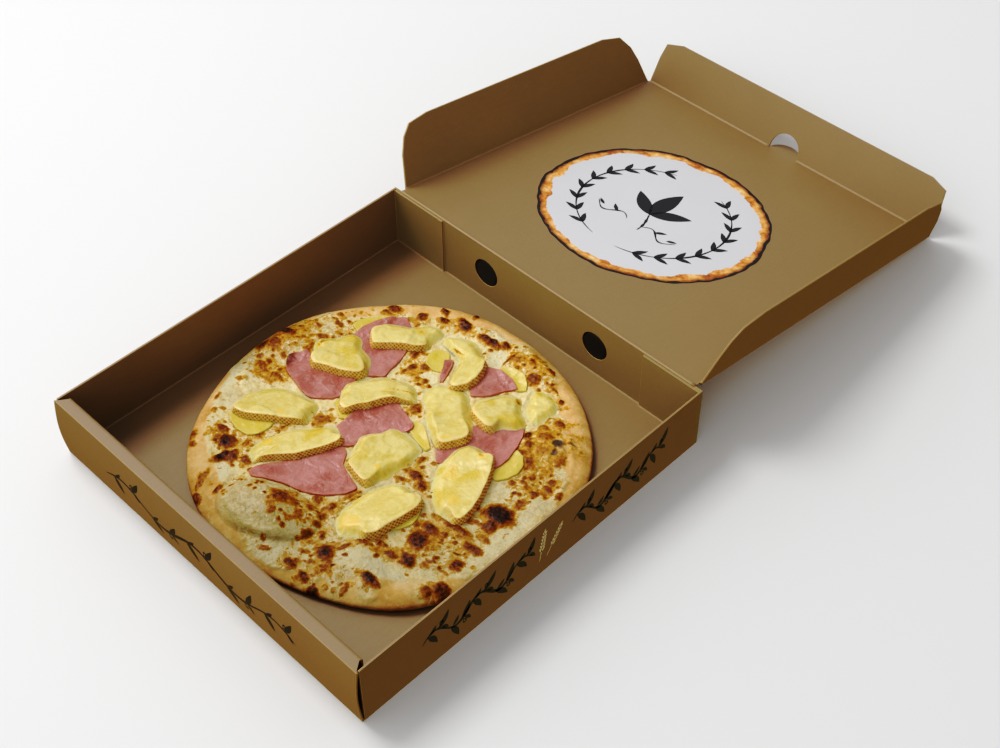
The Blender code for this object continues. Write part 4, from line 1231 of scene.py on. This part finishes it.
def make_creases(material):
    """Folded strips that bridge each moving joint."""
    across = Vector((1, 0, 0))
    flaps = (  # name, seed, lean in degrees, a point of the crease, way in over the lid, runs
        ("left", 69, 22, lambda a: on_lid(LEFT_CREASE, a), across, SIDE_RUNS),
        ("right", 71, 11, lambda a: on_lid(RIGHT_CREASE, a), -across, SIDE_RUNS),
        ("front", 70, 17, lambda a: on_lid(a, FRONT_CREASE), -LID_AWAY, FRONT_RUNS),
    )
    for name, seed, lean, origin, inward, runs in flaps:
        loop = flap_loop(origin, inward, LID_UP, math.radians(lean))
        points, faces = crease_strip(runs, loop, seed)
        strip = mesh_object("crease_" + name, points, faces, [material])
        middle = origin(sum(runs[0]) / 2)
        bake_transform(strip)

    def back_loop(along, rough):
        section = (
            (-0.00195, -0.00060), (-0.00165, 0.00012), (-0.0007, 0.00044 + rough), (0.0002, 0.00034 + rough),
            (0.0011, -0.00022), (0.0011, -0.00040), (0.0003, -0.00080), (-0.0002, -0.00130),
            (-0.00026, -0.00180), (-0.00040, -0.00160),
        )
        return [Vector((along, HINGE.y + y, HINGE.z + z)) for y, z in section]

    points, faces = crease_strip(BACK_RUNS, back_loop, 75)
    strip = mesh_object("crease_back", points, faces, [material])
    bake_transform(strip)


# The tray's inner folds: the wall's face, from, to, whether it runs along X, and the wall's side
INNER_FOLDS = (
    (0.1670, -0.1068, 0.1093, True, 1), (0.1655, -0.1632, -0.1072, True, 1),
    (0.1655, 0.1097, 0.1632, True, 1), (0.1635, -0.1570, 0.1650, False, 1),
    (-0.1635, -0.1570, 0.1650, False, -1),
)
FOLD_SIZE = 0.0011
FOLD_SECTION = ((0.0, 0.0), (1.0, 0.0), (0.42, 0.21), (0.2, 0.42), (0.0, 1.0))  # off the wall, up
INTO_WALL, INTO_FLOOR = 0.00003, 0.00002  # how far a fold's foot reaches into the board


def make_inner_folds(material):
    """Small fillets where the floor turns up into the walls, in a lighter board: a painted highlight along
    the folds.
    """
    points, faces = [], []
    for wall, start, end, along_x, side in INNER_FOLDS:
        sections = []
        for way in np.linspace(start, end, 40):
            section = []
            for off, up in FOLD_SECTION:
                place = wall + side * (INTO_WALL - off * FOLD_SIZE)
                at = (way, place) if along_x else (place, way)
                section.append(Vector((*at, BOARD - INTO_FLOOR + up * FOLD_SIZE)))
            sections.append(section[::-1] if (side > 0) == along_x else section)
        add_part(points, faces, *extrude_section(sections))
    folds = mesh_object("inner_folds", points, faces, [material], smooth=False)
    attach(folds, "tray")


VENTS = (-0.0578, 0.0607)  # where they lie across the tray
VENT_HEIGHT = 0.0303
VENT_RADIUS = 0.0126
VENT_CELLS = 10
VENT_SHEET = 0.0003  # its thickness, and how far it bulges


def make_vents(material):
    """Near-black sheets just inside each vent: painted shade, standing in for the dark seen through the
    holes.
    """
    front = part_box("tray")[1].y - BOARD + 2 * VENT_SHEET
    points, faces = [], []
    for place in VENTS:
        angle, ring, behind, quads = disc_layout(VENT_CELLS, (0.6, 0.2))
        x = place + VENT_RADIUS * ring * np.cos(angle)
        y = front + VENT_SHEET * (behind - 1 + ring**2)
        z = VENT_HEIGHT + VENT_RADIUS * ring * np.sin(angle)
        add_part(points, faces, np.column_stack((x, y, z)).tolist(), quads)
    vents = mesh_object("vent_painted_shade", points, faces, [material])
    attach(vents, "tray")


# ---------------------------------------------------------------- print


def ribbon(points, widths):
    """A flat stroke along points with a width at each; returns corners and faces."""
    points = np.asarray(points, float)
    step = np.gradient(points, axis=0)
    step /= np.maximum(np.hypot(*step.T), 1e-9)[:, None]
    side = np.column_stack((-step[:, 1], step[:, 0])) * (np.asarray(widths)[:, None] / 2)
    corners = np.concatenate((points + side, points - side))
    count = len(points)
    faces = [(k, k + count, k + count + 1, k + 1) for k in range(count - 1)]
    return corners, faces


def leaf(x, y, length, width, turn, bend=0.25):
    """A pointed leaf drawn as one stroke that swells and thins."""
    t = np.linspace(0, 1, 13)
    along, across = length * t, bend * length * t * (1 - t)
    c, s = math.cos(math.radians(turn)), math.sin(math.radians(turn))
    points = np.column_stack((x + along * c - across * s, y + along * s + across * c))
    return ribbon(points, width * np.sin(math.pi * t) ** 0.8 * (1 - 0.35 * t) + 0.05)


def stroke(curve, start, end, width, steps=40, ends=0.15):
    """A brushed line along a parametric curve, thin at both ends."""
    t = np.linspace(start, end, steps)
    share = np.linspace(0, 1, steps)
    points = np.column_stack(curve(t))
    swell = ends + (1 - ends) * np.sin(math.pi * share) ** 0.6
    return ribbon(points, width * swell * (1 + 0.25 * np.sin(share * 21)))


def sprig(x, y, length, turn, grains, size):
    """An ear of wheat: a stalk and pairs of grains, leaning turn degrees from level."""
    c, s = math.cos(math.radians(turn)), math.sin(math.radians(turn))
    shapes = [stroke(lambda t: (x + t * length * c, y + t * length * s), 0, 1, 0.9, 24)]
    for n in range(grains):
        way = length * (0.34 + 0.60 * n / (grains - 1))
        at = (x + way * c, y + way * s)
        for side in (-1, 1):
            shapes.append(leaf(*at, size * (1 - 0.05 * n), size * 0.36, turn + side * 32, side * -0.2))
    shapes.append(leaf(x + length * 0.97 * c, y + length * 0.97 * s, size, size * 0.34, turn))
    return shapes


VINE_WAVES = 2.5


def vine(length, height, seed):
    """A brushed vine along the origin: a waving stem with leaves and curling tendrils."""

    def stem(t):
        return (t - 0.5) * length, height * 0.20 * np.sin(t * VINE_WAVES * TAU)

    shapes = [stroke(stem, 0, 1, height * 0.075, 120)]
    rng = np.random.default_rng(seed)
    for n in range(10):
        t = 0.05 + 0.1 * n
        x, y = stem(t)
        side = 1 if n % 2 else -1
        turn = side * rng.uniform(48, 66)
        shapes.append(leaf(x, y, height * rng.uniform(0.42, 0.52), height * 0.17, turn, side * -0.22))
        shapes.append(leaf(x + 2, y, height * 0.26, height * 0.11, -turn * 0.8, side * 0.22))
    for n in range(5):
        t = 0.13 + 0.2 * n
        x, y = stem(t)
        side = -1 if n % 2 else 1

        def curl(a, x=x, y=y, side=side):
            radius = height * (0.17 - 0.035 * a)
            return x + radius * np.sin(a) + a, y + side * (radius * (1 - np.cos(a)))

        shapes.append(stroke(curl, 0, 4.2, height * 0.035, 36))
    return shapes


def print_object(name, shapes, place, body, material):
    """Flat shapes printed on a face: place maps drawing millimetres to a point in metres."""
    points, faces = [], []
    for corners, quads in shapes:
        add_part(points, faces, [place(*corner) for corner in corners], quads)
    printed = mesh_object(name, points, faces, [material], smooth=False)
    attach(printed, body)


EMBLEM_PLACE = (-0.0084, 0.1503)  # across and away from the hinge
EMBLEM_RADIUS = 99.5
WREATH_RADIUS = 66
WREATH_LEAVES = 9


def on_emblem(across, away, up=2 * SKIN):
    """A point of the emblem, from millimetres off its middle."""
    return on_lid(EMBLEM_PLACE[0] + across * MM, EMBLEM_PLACE[1] + away * MM, up)


def make_emblem(disc_finish, ink):
    """A pale printed disc with a toasted ring on the lid, and a wreath and a sprout inside it."""
    angle, share, _, faces = disc_layout(120)
    outline = EMBLEM_RADIUS + wobble(angle, 2.6, 81, (5, 9, 13, 21, 34, 47))
    across, away = (share * outline * f(angle) for f in (np.cos, np.sin))
    points = [on_emblem(u, v, SKIN) for u, v in zip(across, away)]
    disc = mesh_object("lid_emblem", points, faces[:-1], [disc_finish], inset=(1 - share) * outline)
    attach(disc, "lid")

    shapes = []
    for side in (-1, 1):
        for n in range(WREATH_LEAVES):
            turn = -90 + side * (24 + 15.5 * n)
            c, s = math.cos(math.radians(turn)), math.sin(math.radians(turn))
            for lean in (-1, 1):
                grows = turn + side * 90 - lean * 34
                shapes.append(leaf(WREATH_RADIUS * c, WREATH_RADIUS * s, 14, 5.4, grows, lean * 0.2))
        shapes.append(stroke(
            lambda t: (WREATH_RADIUS * np.cos(t), WREATH_RADIUS * np.sin(t)),
            math.radians(-90 + side * 10), math.radians(-90 + side * 158), 1.8, 90,
        ))
    for turn, length in ((90, 46), (142, 36), (38, 36)):
        shapes.append(leaf(0, -6, length, length * 0.42, turn, 0.10))
    shapes.append(stroke(lambda t: (8 * np.sin(t * 1.6), -6 - 26 * t), 0, 1, 2.2, 30))
    for side in (-1, 1):
        shapes.append(stroke(
            lambda t, side=side: (side * (8 + 34 * t), -26 + 5 * np.sin(t * 7)), 0, 1, 1.6, 50,
        ))
        shapes.append(leaf(side * 20, -24, 11, 4.2, 90 - side * 50, 0.2))
        shapes.append(leaf(side * 34, -25, 9, 3.6, 90 - side * 60, 0.2))
    print_object("emblem_ink", shapes, on_emblem, "lid", ink)


FRONT_BOW = 0.0026  # how far the front wall bows out
WALL_HEIGHT = 0.057
VINE_HEIGHT = 34  # the print's measures are in millimetres
FRONT_VINE = (210, VINE_HEIGHT, 5)  # length, height and seed
SIDE_VINES = ((-62, 104, 6), (78, 96, 7))  # place, length and seed
# Wheat between the side's vines: place, length, turn, and how many grains and their size
SIDE_EARS = ((-3, -14, 28, 80, 6, 5.5), (4, -14, 26, 58, 6, 5.0))


def make_wall_prints(ink, pale_ink):
    """Brushed vines on the front and right walls."""
    low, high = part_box("front_wall")
    height = high.z

    def on_front(u, v):
        z = height * 0.5 + v * MM
        y = low.y + FRONT_BOW * (1 - math.sin(math.pi * min(max(z / WALL_HEIGHT, 0), 1))) - SKIN
        return Vector((u * MM, y, z))

    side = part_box("tray")[1].x + SKIN

    def on_side(u, v):
        return Vector((side, u * MM, height * 0.5 + v * MM))

    print_object("front_vine", vine(*FRONT_VINE), on_front, "tray", ink)
    shapes = [
        (corners + np.array((place, 0.0)), faces)
        for place, length, seed in SIDE_VINES
        for corners, faces in vine(length, VINE_HEIGHT, seed)
    ]
    print_object("side_vine", shapes, on_side, "tray", ink)
    wheat = [shape for ear in SIDE_EARS for shape in sprig(*ear)]
    print_object("side_wheat", wheat, on_side, "tray", pale_ink)


def emblem_material(face, ring):
    """Pale print with an uneven toasted ring and a dark rim."""
    look = Finish("emblem_print", roughness=0.5)
    inset = look.attribute("inset")
    ragged = look.noise(0.014, 3.0, 0.6)
    crumbs = look.noise(0.0036, 4.0, 0.65)
    inner = look.math("ADD", inset, look.remap(look.noise(0.020, 4.0, 0.55), 0.2, 0.8, -4.0, 4.0))
    toasted = look.ramp(
        look.math("ADD", look.math("MULTIPLY", ragged, 0.75), look.math("MULTIPLY", crumbs, 0.35)),
        (0.34, srgb(128, 62, 24)), (0.46, srgb(186, 104, 44)), (0.55, ring), (0.66, srgb(238, 196, 124)),
        (0.80, srgb(246, 226, 176)),
    )
    toasted = look.mix(look.remap(inset, 2.6, 6.0, 0.80, 0.0), toasted, srgb(122, 62, 28))
    paper = look.mix(look.noise(0.05, 2.0), [c * 0.97 for c in face], [c * 1.03 for c in face])
    base = look.mix(look.remap(inner, 9.6, 10.4), toasted, paper)
    rim = look.math("ADD", inset, look.remap(look.noise(0.009, 2.0), 0.2, 0.8, -1.2, 1.2))
    base = look.mix(look.remap(rim, 1.9, 3.2, 1.0, 0.0), base, srgb(36, 28, 28))
    return look.finish(base, look.bump(crumbs, 0.00005, 0.3))


# ---------------------------------------------------------------- stage

CAMERA_FRAME = (45.0042, 46.4869, -0.3867)  # azimuth, elevation and roll, in degrees
CAMERA_OFFSET = (0.265732, 0.166326, 3.547187)  # in widths of the tray, in the camera's own frame
FOCAL_LENGTH = 55.957
TRAY_WIDTH = 0.330
TONE_CURVE = ((0.08, 0.034), (0.20, 0.19), (0.36, 0.357), (0.60, 0.60))  # a toe that deepens the shade
FLOOR_HALF = 9.0  # half the floor's width, in metres
FLOOR_TOP = -0.0002
KEY_PLACE, KEY_AIM, KEY_SIZE = (-1.35, -0.20, 2.20), (0.0, 0.12, 0.0), 1.0


def camera_matrix():
    """The camera's place and turn."""
    azimuth, elevation, roll = (math.radians(v) for v in CAMERA_FRAME)
    level = math.cos(elevation)
    back = Vector((math.sin(azimuth) * level, -math.cos(azimuth) * level, math.sin(elevation)))
    right = Vector((0, 0, 1)).cross(back).normalized()
    up = back.cross(right)
    turned = Matrix((right, up, back)).transposed() @ Matrix.Rotation(roll, 3, "Z")
    place = turned @ (Vector(CAMERA_OFFSET) * TRAY_WIDTH)
    return Matrix.Translation(place) @ turned.to_4x4()


def area_light(name, place, aim, size, power):
    """A square soft box."""
    lamp = bpy.data.lights.new(name, "AREA")
    lamp.shape = "SQUARE"
    lamp.size = size
    lamp.energy = power
    thing = bpy.data.objects.new(name, lamp)
    thing.location = place
    thing.rotation_euler = (Vector(aim) - Vector(place)).to_track_quat("-Z", "Y").to_euler()
    bpy.context.scene.collection.objects.link(thing)


# Light from each side above the floor: axis, sign and strength where it is strongest
STUDIO_LIGHT = (("Z", 1, 0.24), ("Y", -1, 1.07), ("Y", 1, 0.30), ("X", -1, 0.95), ("X", 1, 0.17))


def studio_world(strength, bounce):
    """Light from all around: brightest from the front and left, warm and dim from the floor."""
    world = bpy.data.worlds.new("studio")
    world.use_nodes = True
    tree = world.node_tree

    def made(kind, inputs, **settings):
        node = tree.nodes.new(kind)
        for key, value in settings.items():
            setattr(node, key, value)
        for key, value in inputs:
            feed(tree, node, key, value)
        return node.outputs[0]

    def calculate(operation, a, b):
        return made("ShaderNodeMath", ((0, a), (1, b)), operation=operation)

    at = tree.nodes.new("ShaderNodeTexCoord").outputs["Generated"]
    way = tree.nodes.new("ShaderNodeSeparateXYZ")
    tree.links.new(at, way.inputs[0])
    total = 0.0
    for axis, sign, amount in STUDIO_LIGHT:
        facing = calculate("MAXIMUM", calculate("MULTIPLY", way.outputs[axis], sign), 0.0)
        total = calculate("ADD", total, calculate("MULTIPLY", facing, amount * strength))
    above = made("ShaderNodeMapRange", (
        ("Value", way.outputs["Z"]), ("From Min", -0.04), ("From Max", 0.04),
    ), interpolation_type="SMOOTHSTEP")
    to_right = calculate("MAXIMUM", way.outputs["X"], 0.0)

    def mixed(share, a, b):
        node = tree.nodes.new("ShaderNodeMix")
        node.data_type = "RGBA"
        for key, value in ((0, share), (6, a), (7, b)):
            feed(tree, node, key, value)
        return node.outputs[2]

    below = mixed(to_right, bounce, [c * 0.95 for c in bounce])
    tree.links.new(mixed(above, below, total), tree.nodes["Background"].inputs["Color"])
    return world


def make_stage(settings):
    """Pale floor, soft studio light, world, colour management and camera."""
    look = Finish("studio_floor", roughness=0.6)
    clouds = look.noise(0.5, 1.0)
    finish = look.finish(look.mix(clouds, [c * 0.99 for c in settings.floor], list(settings.floor)))
    corners = [(x * FLOOR_HALF, y * FLOOR_HALF, FLOOR_TOP) for x, y in ((-1, -1), (1, -1), (1, 1), (-1, 1))]
    floor = mesh_object("studio_floor", corners, [(0, 1, 2, 3)], [finish], smooth=False)
    area_light("key", KEY_PLACE, KEY_AIM, KEY_SIZE, settings.key_power)

    floor.visible_diffuse = False  # the world below the horizon stands for the floor's own light
    floor.visible_glossy = False
    scene = bpy.context.scene
    scene.world = studio_world(settings.ambient, settings.bounce)
    scene.view_settings.view_transform = "Standard"
    scene.view_settings.look = "None"
    scene.view_settings.use_curve_mapping = True
    tone = scene.view_settings.curve_mapping
    for place, value in TONE_CURVE:
        tone.curves[3].points.new(place, value)
    tone.update()

    lens = bpy.data.cameras.new("camera")
    lens.lens = FOCAL_LENGTH
    lens.sensor_width = 36.0
    lens.clip_end = 100.0
    camera = bpy.data.objects.new("camera", lens)
    camera.matrix_world = camera_matrix()
    scene.collection.objects.link(camera)
    scene.camera = camera


# ---------------------------------------------------------------- settings, operators and panel


def colour_setting(name, description, default):
    """A colour that shows in the panel."""
    return bpy.props.FloatVectorProperty(
        name=name, description=description, default=default, size=3, min=0.0, max=1.0, subtype="COLOR"
    )


class BoxSettings(bpy.types.PropertyGroup):
    """Colours of the folding box and its print."""

    kraft: colour_setting("Kraft", "Colour of the board's faces", (0.246, 0.150, 0.062))
    cut_edge: colour_setting("Cut edge", "Colour of cut edges and folds", (0.42, 0.28, 0.12))
    ink: colour_setting("Ink", "Colour of the dark print", (0.012, 0.012, 0.016))
    pale_ink: colour_setting("Pale ink", "Colour of the pale print", (0.62, 0.55, 0.42))
    emblem: colour_setting("Emblem", "Colour of the emblem's middle", (0.66, 0.66, 0.68))
    ring: colour_setting("Ring", "Colour of the emblem's ring", srgb(222, 152, 76))


class PizzaSettings(bpy.types.PropertyGroup):
    """Colours of the pizza."""

    cream: colour_setting("Cream", "Melted cheese, its yellower part", srgb(222, 199, 134))
    pale: colour_setting("Pale cream", "Melted cheese, its whiter part", srgb(232, 217, 164))
    gold: colour_setting("Crust", "Baked dough", srgb(228, 188, 124))
    face: colour_setting("Cheese face", "Inside of the cheese slices", srgb(226, 209, 130))
    rind: colour_setting("Rind", "Rind of the cheese slices", srgb(212, 164, 80))
    ham: colour_setting("Ham", "Cooked ham", srgb(182, 118, 110))
    potato: colour_setting("Potato", "Potato flesh", srgb(214, 191, 84))


class StageSettings(bpy.types.PropertyGroup):
    """Floor and light."""

    floor: colour_setting("Floor", "Colour of the floor", (0.80, 0.80, 0.80))
    key_power: bpy.props.FloatProperty(
        name="Key light", description="Power of the soft box at the left", default=33.0, min=0.0, unit="POWER"
    )
    ambient: bpy.props.FloatProperty(
        name="Ambient", description="Strength of the light from all around", default=1.0, min=0.0
    )
    bounce: colour_setting("Bounce", "Light that the floor gives back to the box", (0.39, 0.30, 0.095))


class PIZZA_OT_board(bpy.types.Operator):
    """Dress the box's panels in kraft board"""

    bl_idname = "pizza.board"
    bl_label = "Board"

    def execute(self, context):
        settings = context.scene.pizza_box
        edge = edge_material("paper_edge", settings.cut_edge)
        face = board_material("kraft_board", settings.kraft)
        for name in BOARD_NODES:
            dress_board(name, face, edge)
        # painted light: the tray's back wall is tinted greener and paler
        dress("tray", board_material("tray_board", settings.kraft, far_wall=HINGE.y - FAR_WALL))
        # painted light: the left flap gets a paler, yellower board than the rest
        flap_painted_light_colour = [c * tint for c, tint in zip(settings.kraft, LEFT_FLAP_PAINTED_LIGHT)]
        dress("flap_left", board_material("flap_board", flap_painted_light_colour))
        # painted highlight: creases and inner folds get a board 18% lighter than the faces
        fold = board_material("folded_board", settings.kraft, lighter=1.18)
        make_creases(fold)
        make_inner_folds(fold)
        # painted shade: near-black sheets fill the vents
        make_vents(ink_material("vent_black", (0.004, 0.004, 0.005)))
        return {"FINISHED"}


class PIZZA_OT_print(bpy.types.Operator):
    """Print the emblem and the vines"""

    bl_idname = "pizza.print"
    bl_label = "Print"

    def execute(self, context):
        settings = context.scene.pizza_box
        ink = ink_material("dark_ink", settings.ink)
        make_emblem(emblem_material(settings.emblem, settings.ring), ink)
        make_wall_prints(ink, ink_material("pale_ink", settings.pale_ink))
        return {"FINISHED"}


class PIZZA_OT_base(bpy.types.Operator):
    """Bake the base"""

    bl_idname = "pizza.base"
    bl_label = "Base"

    def execute(self, context):
        settings = context.scene.pizza_food
        make_base(baked_material(settings.cream, settings.pale, settings.gold))
        return {"FINISHED"}


class PIZZA_OT_potato(bpy.types.Operator):
    """Lay the potato slices"""

    bl_idname = "pizza.potato"
    bl_label = "Potato"

    def execute(self, context):
        lay_kind(
            "potato", "potato_slice_%d", len(POTATO_SLICES), potato_material(context.scene.pizza_food.potato),
            thickness=POTATO_THICKNESS, cells=60, softness=2.0, seed=100, side=SLAB_SIDE, lumps=0.2,
        )
        return {"FINISHED"}


class PIZZA_OT_ham(bpy.types.Operator):
    """Lay the ham over the potato"""

    bl_idname = "pizza.ham"
    bl_label = "Ham"

    def execute(self, context):
        lay_kind(
            "ham", "ham_slice_%d", len(HAM_SLICES), ham_material(context.scene.pizza_food.ham),
            thickness=HAM_THICKNESS, cells=90, softness=3.0, seed=200, side=SLAB_SIDE, lumps=0.45,
            curl=0.6, toast=HAM_TOAST,
        )
        return {"FINISHED"}


class PIZZA_OT_cheese(bpy.types.Operator):
    """Lay the cheese on top"""

    bl_idname = "pizza.cheese"
    bl_label = "Cheese"

    def execute(self, context):
        settings = context.scene.pizza_food
        lay_kind(
            "cheese", "cheese_slice_%02d", len(CHEESE_SLICES), cheese_material(settings.face, settings.rind),
            thickness=CHEESE_THICKNESS, cells=110, softness=3.0, seed=300, side=RIND_SIDE, lumps=0.34,
            toast=CHEESE_TOAST, ridges=0.26,
        )
        return {"FINISHED"}


class PIZZA_OT_stage(bpy.types.Operator):
    """Set up the floor, the light and the camera"""

    bl_idname = "pizza.stage"
    bl_label = "Stage"

    def execute(self, context):
        make_stage(context.scene.pizza_stage)
        return {"FINISHED"}


STEPS = ("board", "print", "base", "potato", "ham", "cheese", "stage")


class PIZZA_PT_panel(bpy.types.Panel):
    """Steps that make the pizza and its box"""

    bl_idname = "PIZZA_PT_panel"
    bl_label = "Pizza in Its Box"
    bl_space_type = "VIEW_3D"
    bl_region_type = "UI"
    bl_category = "Pizza"

    def draw(self, context):
        layout = self.layout
        for step in STEPS:
            layout.operator("pizza." + step)
        for group in (context.scene.pizza_box, context.scene.pizza_food, context.scene.pizza_stage):
            box = layout.box()
            for key in group.__annotations__:
                box.prop(group, key)


CLASSES = (
    BoxSettings, PizzaSettings, StageSettings, PIZZA_OT_board, PIZZA_OT_print, PIZZA_OT_base,
    PIZZA_OT_potato, PIZZA_OT_ham, PIZZA_OT_cheese, PIZZA_OT_stage, PIZZA_PT_panel,
)


def register():
    """Makes the settings, operators and panel known."""
    for cls in CLASSES:
        bpy.utils.register_class(cls)
    bpy.types.Scene.pizza_box = bpy.props.PointerProperty(type=BoxSettings)
    bpy.types.Scene.pizza_food = bpy.props.PointerProperty(type=PizzaSettings)
    bpy.types.Scene.pizza_stage = bpy.props.PointerProperty(type=StageSettings)


def unregister():
    """Takes them back out."""
    del bpy.types.Scene.pizza_stage
    del bpy.types.Scene.pizza_food
    del bpy.types.Scene.pizza_box
    for cls in reversed(CLASSES):
        bpy.utils.unregister_class(cls)


def main():
    """Makes every piece in order."""
    register()
    for step in STEPS:
        getattr(bpy.ops.pizza, step)()


if __name__ == "__main__":
    main()
